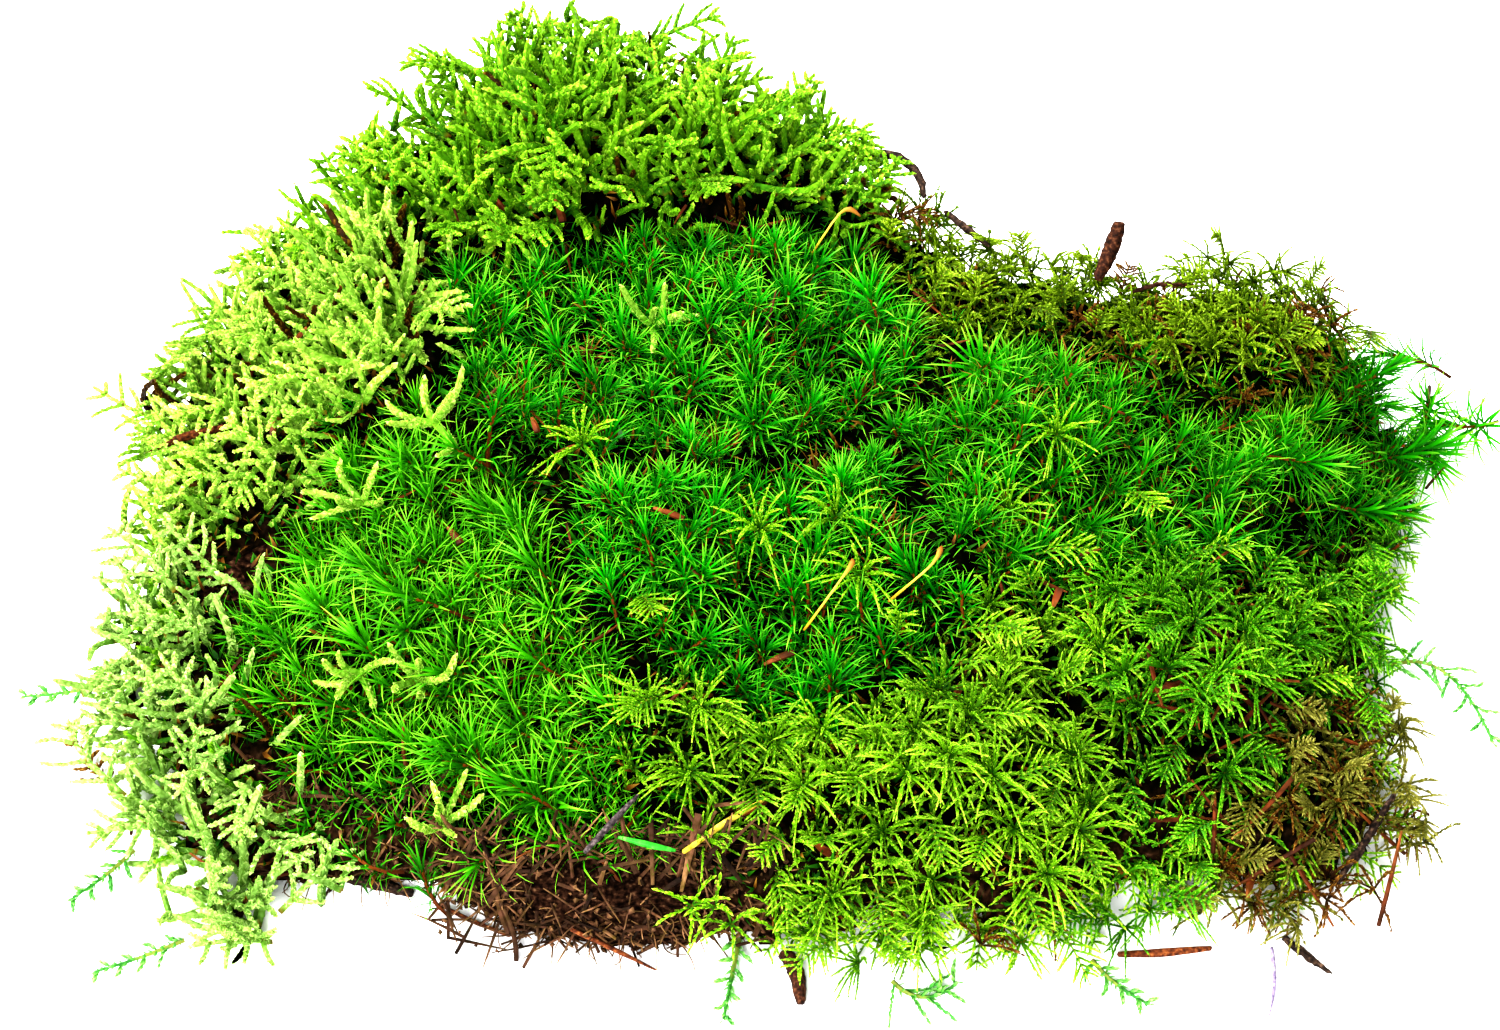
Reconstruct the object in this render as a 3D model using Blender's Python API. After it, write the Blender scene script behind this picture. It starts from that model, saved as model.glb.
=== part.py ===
"""A moss clump: a piece of forest floor lifted whole and laid on a table.

It is built as it comes apart by hand: a slab of duff, the moss colonies that grow on it, torn
apart along their borders, and the twigs, bark, needles, capsule stalks and trailing sprigs.
Driving dimensions are in millimetres and the objects are in metres, +Z up. The origin is on the
flat underside; +X is the long side and +Y the back.
"""

import math

import bpy
import numpy as np
from mathutils import Vector
from mathutils.bvhtree import BVHTree
from mathutils.geometry import delaunay_2d_cdt

MM = 0.001
GAP = 0.4  # between neighbouring pieces
MAT_TOP = 12.0  # thickness of the duff
SKIRT = 3.0  # height above the table of the moss that overhangs the duff
SKIRT_WIDTH = 6.0  # how far the overhanging shoots reach past the skirt's flat underside
RIM_THICKNESS = 1.6  # of the rim shoots' tips
TALL_RIM = 15.0  # rim height from which hanging shoots show on its side
SIDE_STEP = 0.4  # between those shoots, counted in RIM points
TOOTH_PITCH = 8.5  # from one rim shoot's tip to the next
TOOTH_DEPTH = 5.5  # how far a rim shoot stands out past the notches beside it
TOOTH_SWING = 0.35  # share of that depth by which rim shoots differ
TOOTH_RISE = 1.5  # how far a rim shoot's tip is above or below RIM's height
NOTCH_SINK = 1.0  # how far the notches are below it
BORDER_STEP = 8.0  # between the points of a border between two colonies
BORDER_SWING = 1.8  # how far a border wanders from a straight line
CROWN_BLUR = 60.0  # square of the distance within which the heights given below blend
CROWN_POWER = 1.6  # how fast their weight falls with the square of the distance
TIP_SCATTER = 2.0  # how far a shoot's tip is above or below the crown
HOLLOW_DEPTHS = (0.7, 1.25)  # least and most of a hollow, as shares of a kind's relief
OVER_MAT = 4.0  # least moss over the duff in a hollow
OVER_SKIRT = 3.0  # least moss over the skirt in a hollow

# Rows of points on the underside along the rim: the row's start in RIM points, how far it is
# inside the rim, and its height as a share of the rim's. The last two are the hanging shoots.
UNDERSIDE_ROWS = ((0.0, SKIRT_WIDTH + 2.0, 0.0), (0.1, 4.4, 0.4), (0.3, 6.4, 0.6))

# The outer shoots' tips all round the rim, from the left over the back, as x, y, z.
RIM = (
    (-135, 9, 12), (-134, 32, 14), (-125, 53, 18), (-111, 75, 22), (-94, 91, 28), (-75, 108, 34),
    (-59, 121, 39), (-40, 126, 42), (-19, 119, 40), (2, 110, 36), (22, 99, 32), (36, 84, 28),
    (49, 69, 26), (68, 64, 26), (88, 57, 26), (109, 60, 30), (130, 55, 28), (141, 40, 24),
    (148, 21, 22), (154, 8, 20), (142, -9, 18), (136, -30, 15), (132, -52, 13), (138, -74, 10),
    (125, -92, 8), (107, -105, 7), (86, -101, 8), (65, -107, 8), (45, -111, 9), (25, -113, 9),
    (8, -110, 9), (-8, -104, 11), (-22, -95, 18), (-37, -98, 18), (-59, -99, 16), (-80, -89, 14),
    (-90, -96, 9), (-87, -106, 6), (-103, -107, 5), (-117, -96, 6), (-128, -78, 7), (-135, -57, 9),
    (-136, -37, 10), (-131, -17, 11),
)

# How high the shoots' tips reach inside the rim, as x, y, z.
CROWN = (
    (-45, 92, 55), (-85, 62, 43), (-5, 88, 48), (-72, 22, 42), (0, 40, 47), (-20, -20, 44),
    (-75, -45, 37), (-108, -55, 25), (-106, -88, 17), (-60, -78, 31), (-20, -70, 34), (30, -20, 41),
    (70, 10, 41), (112, 30, 38), (120, 0, 36), (90, -50, 34), (40, -75, 31), (60, -93, 22),
    (112, -80, 23),
)

# Where the borders between the colonies fork, as x, y.
FORKS = {
    "a": (29, 76), "b": (-12, 70), "c": (-53, 58), "d": (-76, 59), "e": (-67, 31), "f": (-77, 13),
    "g": (-99, 4), "h": (-110, -25), "i": (45, 31), "j": (28, 7), "k": (-11, -8), "l": (-45, 1),
    "m": (-40, -33), "n": (-18, -59), "o": (-20, -85), "p": (-94, -84), "q": (-112, -55),
    "r": (38, -16), "s": (50, -41), "t": (30, -59), "u": (2, -66), "v": (59, 44), "w": (108, 13),
    "x": (122, -21), "y": (94, -33), "z": (65, -33), "A": (71, -54), "B": (73, -83),
    "C": (100, -80), "D": (113, -57),
}

# The duff slab's outline on the table, as x, y. It shows at the front, under the star moss.
MAT = (
    (-119, 4), (-116, 34), (-104, 60), (-86, 79), (-66, 98), (-42, 107), (-15, 102), (6, 92),
    (24, 76), (42, 56), (70, 49), (105, 45), (126, 38), (134, 15), (126, -12), (120, -36),
    (118, -60), (106, -82), (80, -87), (50, -92), (20, -95), (0, -99), (-8, -105), (-22, -107),
    (-38, -105), (-52, -100), (-68, -88), (-95, -78), (-112, -62), (-120, -34),
)
MAT_POINTS = 72
MAT_CRUMB = 1.0  # how far the slab's torn side wanders in and out
MAT_RINGS = ((0.0, -0.6), (3.5, 0.4), (8.0, -0.8), (MAT_TOP, -2.4))  # height, and shift outwards
MAT_REACH = 0.4  # the farthest of those shifts

# Shoot spacing, depth of the gaps between shoots, and lean of the tips away from the middle.
STAR = {"spacing": 11.5, "relief": 9.0, "lean": 1.5}
PLUME = {"spacing": 9.0, "relief": 7.0, "lean": 3.0}
FEATHER = {"spacing": 10.0, "relief": 6.5, "lean": 2.5}
CREEPING = {"spacing": 9.0, "relief": 5.0, "lean": 1.0}

# Each colony's border, clockwise from above. A pair of numbers is a run along RIM.
COLONIES = {
    "plume_moss_back": (PLUME, [(3, 11), "a", "b", "c", "d"]),
    "plume_moss_left": (PLUME, [(43, 47), "d", "e", "f", "g", "h"]),
    "plume_moss_corner": (PLUME, [(36, 43), "h", "q", "p"]),
    "star_moss_left": (STAR, ["h", "g", "f", "l", "m", "n", "o", (32, 36), "p", "q"]),
    "star_moss_back": (STAR, ["e", "d", "c", "b", "a", "i", "j", "k", "l", "f"]),
    "star_moss_middle": (STAR, ["l", "k", "j", "r", "s", "t", "u", "n", "m"]),
    "star_moss_right": (STAR, ["j", "i", "v", "w", "x", "y", "z", "s", "r"]),
    "star_moss_rim": (STAR, [(17, 20), "x", "w"]),
    "creeping_moss_back": (CREEPING, [(11, 17), "w", "v", "i", "a"]),
    "feather_moss_front": (FEATHER, ["o", "n", "u", "t", "s", "z", "A", "B", (27, 32)]),
    "feather_moss_right": (FEATHER, ["z", "y", "x", (20, 22), "D", "C", (26, 27), "B", "A"]),
    "creeping_moss_corner": (CREEPING, [(22, 26), "C", "D"]),
}
COLONY_COLORS = {
    "plume": "#7aa82a",
    "star": "#2f8a14",
    "feather": "#9bb829",
    "creeping": "#47701c",
}


def clear_scene():
    for thing in list(bpy.data.objects):
        bpy.data.objects.remove(thing, do_unlink=True)


def principled(name, color, roughness=0.8):
    """A plain Principled material; color is an sRGB hex value."""
    made = bpy.data.materials.get(name)
    if made:
        return made
    made = bpy.data.materials.new(name)
    made.use_nodes = True
    channels = [int(color[i : i + 2], 16) / 255 for i in (1, 3, 5)]
    linear = [c / 12.92 if c <= 0.04045 else ((c + 0.055) / 1.055) ** 2.4 for c in channels]
    shader = made.node_tree.nodes["Principled BSDF"]
    shader.inputs["Base Color"].default_value = (*linear, 1.0)
    shader.inputs["Roughness"].default_value = roughness
    shader.inputs["Metallic"].default_value = 0.0
    return made


def add_mesh(name, points, faces, material):
    """A mesh object from points in millimetres."""
    mesh = bpy.data.meshes.new(name)
    mesh.from_pydata([tuple(p) for p in np.asarray(points, float) * MM], [], faces)
    mesh.materials.append(material)
    made = bpy.data.objects.new(name, mesh)
    bpy.context.scene.collection.objects.link(made)
    return made


# Outlines in plan


def smooth_loop(points, places):
    """Points of the closed Catmull-Rom curve through points, at places counted in points."""
    rows = np.asarray(points, float)
    places = np.asarray(places, float)
    start = np.floor(places).astype(int)
    t = (places - start)[:, None]
    p0, p1, p2, p3 = (rows[(start + k) % len(rows)] for k in (-1, 0, 1, 2))
    return 0.5 * (
        2 * p1 + (p2 - p0) * t + (2 * p0 - 5 * p1 + 4 * p2 - p3) * t**2
        + (3 * p1 - p0 - 3 * p2 + p3) * t**3
    )


def outward(points, places):
    """Unit vectors in plan that point out of a clockwise closed curve."""
    ahead = smooth_loop(points, np.add(places, 0.05))
    behind = smooth_loop(points, np.subtract(places, 0.05))
    along = (ahead - behind)[:, :2]
    along /= np.linalg.norm(along, axis=1)[:, None]
    return np.column_stack((-along[:, 1], along[:, 0]))


def rim_teeth(first, last):
    """Rim points from notch to notch: the shoots' tips stand out between the notches."""
    steps = np.linspace(first, last, 40)
    length = np.linalg.norm(np.diff(smooth_loop(RIM, steps)[:, :2], axis=0), axis=1).sum()
    teeth = max(1, round(length / TOOTH_PITCH))
    places = np.linspace(first, last, 2 * teeth + 1)
    points = smooth_loop(RIM, places)
    is_tip = np.arange(len(places)) % 2 == 1
    swing = TOOTH_SWING * np.sin(7.3 * places) * TOOTH_DEPTH
    reach = np.where(is_tip, 0.4 * TOOTH_DEPTH + swing, -0.6 * TOOTH_DEPTH)
    points[:, :2] += outward(RIM, places) * reach[:, None]
    points[:, 2] += np.where(is_tip, TOOTH_RISE * np.sin(11.0 * places), -NOTCH_SINK)
    return points


def fork_point(key):
    """A border's end in plan: a named fork, or the rim's notch at a RIM place."""
    if isinstance(key, str):
        return np.array(FORKS[key], float)
    return rim_teeth(key, key + 1)[0, :2]


def border(start, end):
    """The wandering line between two forks. It is the same from either side."""
    flip = str(start) > str(end)
    a, b = (fork_point(end), fork_point(start)) if flip else (fork_point(start), fork_point(end))
    steps = max(2, round(np.linalg.norm(b - a) / BORDER_STEP))
    t = np.linspace(0, 1, steps + 1)
    sideways = np.array([a[1] - b[1], b[0] - a[0]]) / np.linalg.norm(b - a)
    swing = BORDER_SWING * np.sin(2.1 * np.arange(steps + 1) + 0.13 * a.sum()) * (t * (1 - t) > 0)
    line = a + (b - a) * t[:, None] + sideways * swing[:, None]
    return line[::-1] if flip else line


def colony_outline(loop):
    """A colony's outline, counter-clockwise, and the rim height of each point, or NaN on a border."""
    places = []
    runs = {}
    for item in loop:
        if isinstance(item, str):
            places.append(item)
            continue
        ends = (item[0] % len(RIM), item[1] % len(RIM))
        places += ends
        runs[ends] = item
    rows = []
    for start, end in zip(places, places[1:] + places[:1]):
        if (start, end) in runs:
            rows.append(rim_teeth(*runs[start, end])[:-1])
            continue
        line = border(start, end)[:-1]
        rows.append(np.column_stack((line, np.full(len(line), np.nan))))
        if not isinstance(start, str):
            rows[-1][0, 2] = rim_teeth(start, start + 1)[0, 2]
    rows = np.vstack(rows)[::-1]
    return pulled_in(rows[:, :2], GAP / 2), rows[:, 2]


def pulled_in(outline, distance):
    """A counter-clockwise outline with every edge moved in by distance."""
    before = outline - np.roll(outline, 1, axis=0)
    after = np.roll(outline, -1, axis=0) - outline
    normals = []
    for edge in (before, after):
        edge = edge / np.linalg.norm(edge, axis=1)[:, None]
        normals.append(np.column_stack((-edge[:, 1], edge[:, 0])))
    middle = normals[0] + normals[1]
    square = np.maximum((middle**2).sum(axis=1), 0.5)
    return outline + middle * (2 * distance / square)[:, None]


def inside(points, outline):
    """True for each point that is inside the outline."""
    a, b = outline, np.roll(outline, -1, axis=0)
    x, y = points[:, None, 0], points[:, None, 1]
    spans = (a[:, 1] > y) != (b[:, 1] > y)
    rise = np.where(b[:, 1] == a[:, 1], 1e-9, b[:, 1] - a[:, 1])
    crossing = x < a[:, 0] + (y - a[:, 1]) * (b[:, 0] - a[:, 0]) / rise
    return (spans & crossing).sum(axis=1) % 2 == 1


def edge_distance(points, outline):
    """Distance in plan from each point to the outline."""
    a = outline
    edge = np.roll(outline, -1, axis=0) - a
    t = ((points[:, None] - a) * edge).sum(axis=2) / (edge**2).sum(axis=1)
    nearest = a + np.clip(t, 0, 1)[:, :, None] * edge
    return np.linalg.norm(points[:, None] - nearest, axis=2).min(axis=1)


# Heights


def crown(points):
    """Height of the shoots' tips: the mean of RIM's and CROWN's heights, nearest ones first."""
    stations = np.array(RIM + CROWN, float)
    squares = ((points[:, None] - stations[None, :, :2]) ** 2).sum(axis=2)
    weights = 1.0 / (squares + CROWN_BLUR) ** CROWN_POWER
    return (weights * stations[:, 2]).sum(axis=1) / weights.sum(axis=1)


def mat_outline(outset=0.0):
    places = np.linspace(0, len(MAT), MAT_POINTS, endpoint=False)
    return smooth_loop(MAT, places) + outward(MAT, places) * outset


def triangles_within(outline, inner):
    """Delaunay triangles of an outline and the points inside it, as indices into both in turn."""
    points = np.vstack((outline, inner))
    count = len(outline)
    edges = [(i, (i + 1) % count) for i in range(count)]
    found = delaunay_2d_cdt([Vector(p) for p in points], edges, [], 0, 1e-4, True)
    first = np.array([ids[0] for ids in found[3]])
    triangles = first[np.array(found[2])]
    return triangles[inside(points[triangles].mean(axis=1), outline)].tolist()


def cushion(name, outline, rim_heights, tops, hollows, unders, material):
    """A closed solid between a bumpy top and a flat underside; rim points are its thin edge."""
    count = len(outline)
    on_rim = ~np.isnan(rim_heights)
    upper_edge = np.where(on_rim, rim_heights, crown(outline) - hollows)
    lower_edge = np.where(on_rim, rim_heights - RIM_THICKNESS, SKIRT)
    upper = np.vstack((np.column_stack((outline, upper_edge)), tops))
    lower = np.vstack((np.column_stack((outline, lower_edge)), unders))
    shift = len(upper)
    faces = triangles_within(outline, tops[:, :2])
    for face in triangles_within(outline, unders[:, :2]):
        faces.append([corner + shift for corner in reversed(face)])
    for i in range(count):
        j = (i + 1) % count
        faces.append([i + shift, j + shift, j, i])
    return add_mesh(name, np.vstack((upper, lower)), faces, material)


def shoot_spots(outline, spacing, rng):
    """Jittered points of a triangular grid inside the outline, clear of its edge."""
    low, high = outline.min(axis=0), outline.max(axis=0)
    rows = int((high[1] - low[1]) / (spacing * 0.866)) + 2
    columns = int((high[0] - low[0]) / spacing) + 2
    row, column = np.divmod(np.arange(rows * columns), columns)
    spots = low + np.column_stack(((column + 0.5 * (row % 2)) * spacing, row * spacing * 0.866))
    spots += rng.uniform(-0.2, 0.2, spots.shape) * spacing
    spots = spots[inside(spots, outline)]
    return spots[edge_distance(spots, outline) > 0.42 * spacing]


def add_colony(name, kind, loop, seed):
    """One colony: peaks at its shoots' tips, hollows between them, and an overhanging rim."""
    rng = np.random.default_rng(seed)
    outline, rim_heights = colony_outline(loop)
    spots = shoot_spots(outline, kind["spacing"], rng)
    heights = crown(spots) + rng.uniform(-TIP_SCATTER, TIP_SCATTER, len(spots))
    tips = np.column_stack((spots, heights))
    hollows = []
    for face in triangles_within(outline, spots):
        corners = np.vstack((outline, spots))[face]
        if sum(corner >= len(outline) for corner in face) >= 2:
            hollows.append(corners.mean(axis=0))
    hollows = np.array(hollows)
    depth = kind["relief"] * rng.uniform(*HOLLOW_DEPTHS, len(hollows))
    floor = np.where(inside(hollows, mat_outline(3.0)), MAT_TOP + OVER_MAT, SKIRT + OVER_SKIRT)
    hollows = np.column_stack((hollows, np.maximum(crown(hollows) - depth, floor)))
    tips[:, :2] += np.sign(tips[:, :2]) * rng.uniform(0, kind["lean"], (len(tips), 2)) * 0.5
    edge_depth = kind["relief"] * 0.5
    unders = underside_points(outline)
    material = principled(name.split("_moss")[0] + "_moss", COLONY_COLORS[name.split("_")[0]])
    tops = np.vstack((tips, hollows))
    made = cushion(name, outline, rim_heights, tops, edge_depth, unders, material)
    cut = made.modifiers.new("duff", "BOOLEAN")
    cut.object = bpy.data.objects["duff_space"]
    cut.operation = "DIFFERENCE"
    return made


def underside_points(outline):
    """Points of the flat skirt and, where the rim is tall, of the shoots that hang on its side."""
    rows = []
    for start, inset, share in UNDERSIDE_ROWS:
        places = np.arange(start, len(RIM), SIDE_STEP)
        rim = smooth_loop(RIM, places)
        points = rim[:, :2] - outward(RIM, places) * inset
        heights = np.maximum(SKIRT, share * rim[:, 2])
        clear = edge_distance(points, outline) > (1.0 if share else 2.5)
        keep = inside(points, outline) & clear & ((share == 0) | (rim[:, 2] > TALL_RIM))
        rows.append(np.column_stack((points, heights))[keep])
    return np.vstack(rows)


# The duff


def add_ring_solid(name, rings, material):
    """A solid whose side joins closed rings of points, from the lowest to the highest."""
    count = len(rings[0])
    number = np.arange(len(rings) * count).reshape(len(rings), count)
    following = np.roll(number, -1, axis=1)
    corners = (number[:-1], following[:-1], following[1:], number[1:])
    faces = np.stack(corners, axis=-1).reshape(-1, 4).tolist()
    faces += [number[0, ::-1].tolist(), number[-1].tolist()]
    if not turned_left(rings[0]):
        faces = [face[::-1] for face in faces]
    return add_mesh(name, np.vstack(rings), faces, material)


def turned_left(ring):
    """True if the ring runs counter-clockwise seen from above."""
    following = np.roll(ring, -1, axis=0)
    return (ring[:, 0] * following[:, 1] - following[:, 0] * ring[:, 1]).sum() > 0


def add_duff():
    """The slab of needles and crumbs, and the space that the colonies leave for it."""
    brown = principled("duff", "#4a3322", 0.95)
    crumble = np.sin(2.7 * np.arange(MAT_POINTS)) * MAT_CRUMB * 0.5
    rings = []
    for height, outset in MAT_RINGS:
        plan = mat_outline(outset + np.roll(crumble, int(height))[:, None])
        rings.append(np.column_stack((plan, np.full(len(plan), height))))
    add_ring_solid("duff_mat", rings, brown)
    space = []
    for height in (-1.0, MAT_TOP + GAP):
        plan = mat_outline(MAT_REACH + MAT_CRUMB * 0.5 + GAP)
        space.append(np.column_stack((plan, np.full(len(plan), height))))
    cutter = add_ring_solid("duff_space", space, brown)
    cutter.hide_render = True
    cutter.display_type = "WIRE"


# Twigs, needles, stalks and sprigs


def add_stem(name, points, radii, color):
    """A tapered stem: a bevelled curve through points, with a radius at each point."""
    curve = bpy.data.curves.new(name, "CURVE")
    curve.dimensions = "3D"
    curve.bevel_depth = MM
    curve.bevel_resolution = 1
    curve.use_fill_caps = True
    spline = curve.splines.new("POLY")
    spline.points.add(len(points) - 1)
    for point, place, radius in zip(spline.points, points, radii):
        point.co = (*(place * MM), 1.0)
        point.radius = radius
    curve.materials.append(principled(color[0], color[1]))
    made = bpy.data.objects.new(name, curve)
    bpy.context.scene.collection.objects.link(made)
    return made


def smooth_path(points, count):
    """Count points along the open Catmull-Rom curve through points."""
    rows = np.asarray(points, float)
    rows = np.vstack((2 * rows[0] - rows[1], rows, 2 * rows[-1] - rows[-2]))
    places = np.linspace(1, len(rows) - 2 - 1e-6, count)
    start = np.floor(places).astype(int)
    t = (places - start)[:, None]
    p0, p1, p2, p3 = (rows[start + k] for k in (-1, 0, 1, 2))
    return 0.5 * (
        2 * p1 + (p2 - p0) * t + (2 * p0 - 5 * p1 + 4 * p2 - p3) * t**2
        + (3 * p1 - p0 - 3 * p2 + p3) * t**3
    )


def spread(values, count):
    """Count values read evenly along the given ones."""
    return np.interp(np.linspace(0, 1, count), np.linspace(0, 1, len(values)), values)


def colony_surfaces():
    """A search tree for each colony, to lay small pieces on the moss."""
    bpy.context.view_layer.update()
    graph = bpy.context.evaluated_depsgraph_get()
    return [BVHTree.FromObject(bpy.data.objects[name], graph) for name in COLONIES]


def moss_height(surfaces, x, y):
    """Height of the moss over a point in plan, in millimetres, or 0 beside the clump."""
    best = 0.0
    for tree in surfaces:
        hit = tree.ray_cast(Vector((x * MM, y * MM, 0.2)), Vector((0, 0, -1)))[0]
        if hit:
            best = max(best, hit.z / MM)
    return best


def laid_on_moss(points, radii, surfaces):
    """Moves a stem up or down until it just clears the moss below it."""
    points = np.array(points, float)
    lift = -100.0
    for start, end, radius in zip(points, points[1:], np.maximum(radii[:-1], radii[1:])):
        for t in np.linspace(0, 1, 9):
            x, y, z = start + (end - start) * t
            for turn in range(6):
                dx = radius * math.cos(turn * math.pi / 3)
                dy = radius * math.sin(turn * math.pi / 3)
                lift = max(lift, moss_height(surfaces, x + dx, y + dy) + radius + GAP - z)
    points[:, 2] += lift
    return points


BLACK = ("dark_twig", "#241a14")
BROWN = ("brown_needle", "#6b3f1e")
BARK = ("bark", "#3a2417")
STRAW = ("straw", "#b9a13c")
GREY = ("grey_needle", "#6a5c50")
GREEN = ("green_needle", "#3f8a2a")

# Stems on the table: route as x, y, z, the radius at each point, and the colour.
ON_TABLE = {
    "black_twig_left": (
        [(-91, -88.5, 1.3), (-79, -92, 1.3), (-68, -95, 1.2)], (1.1, 1.2, 1.0), BLACK),
    "flat_needle_right": (
        [(73, -109, 1.1), (82, -108.6, 1.1), (92, -107.5, 1.0)], (0.6, 1.0, 0.5), BROWN),
    "dark_needle_right": (
        [(106.5, -105, 1.0), (110.5, -109, 1.0), (115.5, -113.5, 0.7)], (0.7, 0.9, 0.2), BLACK),
    "thin_needle_front": (
        [(-35.5, -107, 7.5), (-27, -109.5, 4), (-18.5, -112.3, 0.6)], (0.4, 0.5, 0.2), BROWN),
    "thin_needle_left": (
        [(-63, -97, 0.7), (-56, -101, 0.7), (-48, -104.5, 0.6)], (0.3, 0.5, 0.3), BROWN),
    "violet_needle_right": (
        [(104, -107, 0.6), (103.5, -115.5, 0.6), (101.5, -122.5, 0.5)], (0.4, 0.4, 0.15), GREY),
    "bark_peg_front": (
        [(6.5, -109, 2.2), (9, -113, 2.2), (10, -120.5, 1.7)], (1.5, 1.9, 1.1), BARK),
}

# Stems laid on the moss: the route's heights only say how it slopes.
ON_MOSS = {
    "straw_needle": ([(-13.3, -95.3, 0), (-5, -89, 1), (3, -84, 2)], (0.5, 0.75, 0.35), STRAW),
    "green_needle": ([(-26, -93.5, 2), (-20, -94.7, 1), (-14.6, -95.4, 0)], (0.3, 0.8, 0.3), GREEN),
    "grey_needle": ([(-32.5, -97.5, 0), (-27, -91.5, 2), (-22, -86.5, 4)], (0.5, 0.8, 0.3), GREY),
    "brown_twig_left": ([(-136, 12, 0), (-127, 15, 2), (-118, 16, 4)], (0.6, 1.1, 0.8), BROWN),
    "bark_peg_back": ([(80, 52, 0), (83, 57, 5), (85, 61, 10)], (1.2, 2.2, 1.6), BARK),
    "crossing_needle_back": ([(88, 51, 0), (95, 53, 1), (104, 52, 1)], (0.3, 0.6, 0.3), BARK),
    "black_twig_back": (
        [(26, 92, 0), (34, 90, 2), (40, 84, 1), (41, 77, 0)], (0.8, 1.2, 1.2, 0.7), BLACK),
    "dark_stick_back": ([(46, 76, 0), (51, 70, 0), (56, 64, 0)], (0.6, 1.0, 0.5), BLACK),
    "black_twig_right": ([(117, -97, 0), (124, -88, 2), (131, -78, 4)], (0.6, 1.0, 0.5), BLACK),
}

# Capsule stalks: foot, bend and tip of the stalk, then the capsule's end.
CAPSULES = {
    "capsule_stalk_back": [(14, 57, 0), (17, 59.5, 4), (20.5, 62.5, 8), (23, 63, 9), (25.5, 61.5, 8)],
    "capsule_stalk_middle": [(11, -48, 0), (15, -45, 5), (19, -41, 9), (21, -39, 11), (21, -37, 10)],
    "capsule_stalk_right": [
        (28.5, -42.5, 0), (33, -41.5, 5), (37.5, -39.5, 9), (39, -37, 10), (39.5, -35, 9)],
}
CAPSULE_RADII = (0.5, 0.45, 0.45, 0.95, 0.4)
STEM_POINTS = 6
STALK_POINTS = 9

# Sprigs that trail on the table: route in plan, half width, and number of side branches.
SPRIGS = {
    "strand_front": ([(-2, -105), (-3.5, -113.5), (-5.5, -125)], 2.6, 8),
    "strand_front_right": ([(67, -110), (72, -116), (79, -121)], 2.6, 7),
    "curled_strand_front": ([(27, -115), (34, -119), (42, -115)], 2.0, 7),
    "strand_right": ([(136, -38.5), (150, -40), (158, -61)], 4.0, 8),
    "strand_left": ([(-134, -42.5), (-146, -45), (-157, -46)], 3.2, 7),
    "strand_left_middle": ([(-132, -69), (-138, -64), (-143, -57)], 2.4, 6),
    "strand_left_front": ([(-125, -84), (-131, -91), (-138, -97)], 3.0, 6),
    "strand_corner": ([(-111, -105.5), (-121, -110), (-131, -113.5)], 3.0, 6),
}
SPRIG_THICKNESS = 2.2
SPRIG_EDGE = 1.0  # height of a sprig's upper edge above the table
SPRIG_FLOOR = 0.2  # height of its underside


def add_sprig(name, route, half_width, branches):
    """A moss sprig that lies flat: a ridge along its stem and a tooth for each side branch."""
    count = 2 * branches + 1
    flat = np.column_stack((np.array(route, float), np.zeros(len(route))))
    line = smooth_path(flat, count)[:, :2]
    along = np.gradient(line, axis=0)
    along /= np.linalg.norm(along, axis=1)[:, None]
    sideways = np.column_stack((-along[:, 1], along[:, 0]))
    t = np.linspace(0, 1, count)
    is_branch = np.arange(count) % 2 == 1
    width = half_width * np.where(is_branch, 1.0 - 0.55 * t, 0.28)
    sweep = along * (is_branch * half_width * 0.7)[:, None]
    left = line + sideways * width[:, None] + sweep
    right = line - sideways * width[:, None] + sweep
    tip = line[-1] + along[-1] * half_width
    outline = np.vstack((right, tip, left[::-1]))
    if not turned_left(outline):
        outline = outline[::-1]
    ridge = line[1:-1] + sideways[1:-1] * 0.05
    heights = SPRIG_THICKNESS * (1.0 - 0.4 * t[1:-1])
    shift = len(outline) + len(ridge)
    levels = ((SPRIG_EDGE, heights), (SPRIG_FLOOR, np.full(len(ridge), SPRIG_FLOOR)))
    rows = []
    for edge_height, ridge_heights in levels:
        rows.append(np.column_stack((outline, np.full(len(outline), edge_height))))
        rows.append(np.column_stack((ridge, ridge_heights)))
    upper = triangles_within(outline, ridge)
    faces = upper + [[corner + shift for corner in reversed(face)] for face in upper]
    for i in range(len(outline)):
        j = (i + 1) % len(outline)
        faces.append([i + shift, j + shift, j, i])
    return add_mesh(name, np.vstack(rows), faces, principled("loose_moss", "#7fa83c"))


def build():
    clear_scene()
    add_duff()
    for seed, (name, (kind, loop)) in enumerate(COLONIES.items(), start=11):
        add_colony(name, kind, loop, seed)
    surfaces = colony_surfaces()
    for name, (route, radii, color) in ON_TABLE.items():
        add_stem(name, smooth_path(route, STEM_POINTS), spread(radii, STEM_POINTS), color)
    for name, (route, radii, color) in ON_MOSS.items():
        widths = spread(radii, STEM_POINTS)
        add_stem(name, laid_on_moss(smooth_path(route, STEM_POINTS), widths, surfaces), widths, color)
    for name, route in CAPSULES.items():
        widths = spread(CAPSULE_RADII, STALK_POINTS)
        add_stem(name, laid_on_moss(smooth_path(route, STALK_POINTS), widths, surfaces), widths, STRAW)
    for name, (route, half_width, branches) in SPRIGS.items():
        add_sprig(name, route, half_width, branches)


build()
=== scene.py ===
# %% [markdown]
# # A moss clump
# A clump of forest floor, lifted whole: a slab of needles and humus with cushions of four mosses
# on it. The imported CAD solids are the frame. They give where each shoot's tip is, and this file
# grows the shoots, leaf by leaf, on those places. All shapes are numpy arrays in millimetres.

import math

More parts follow.
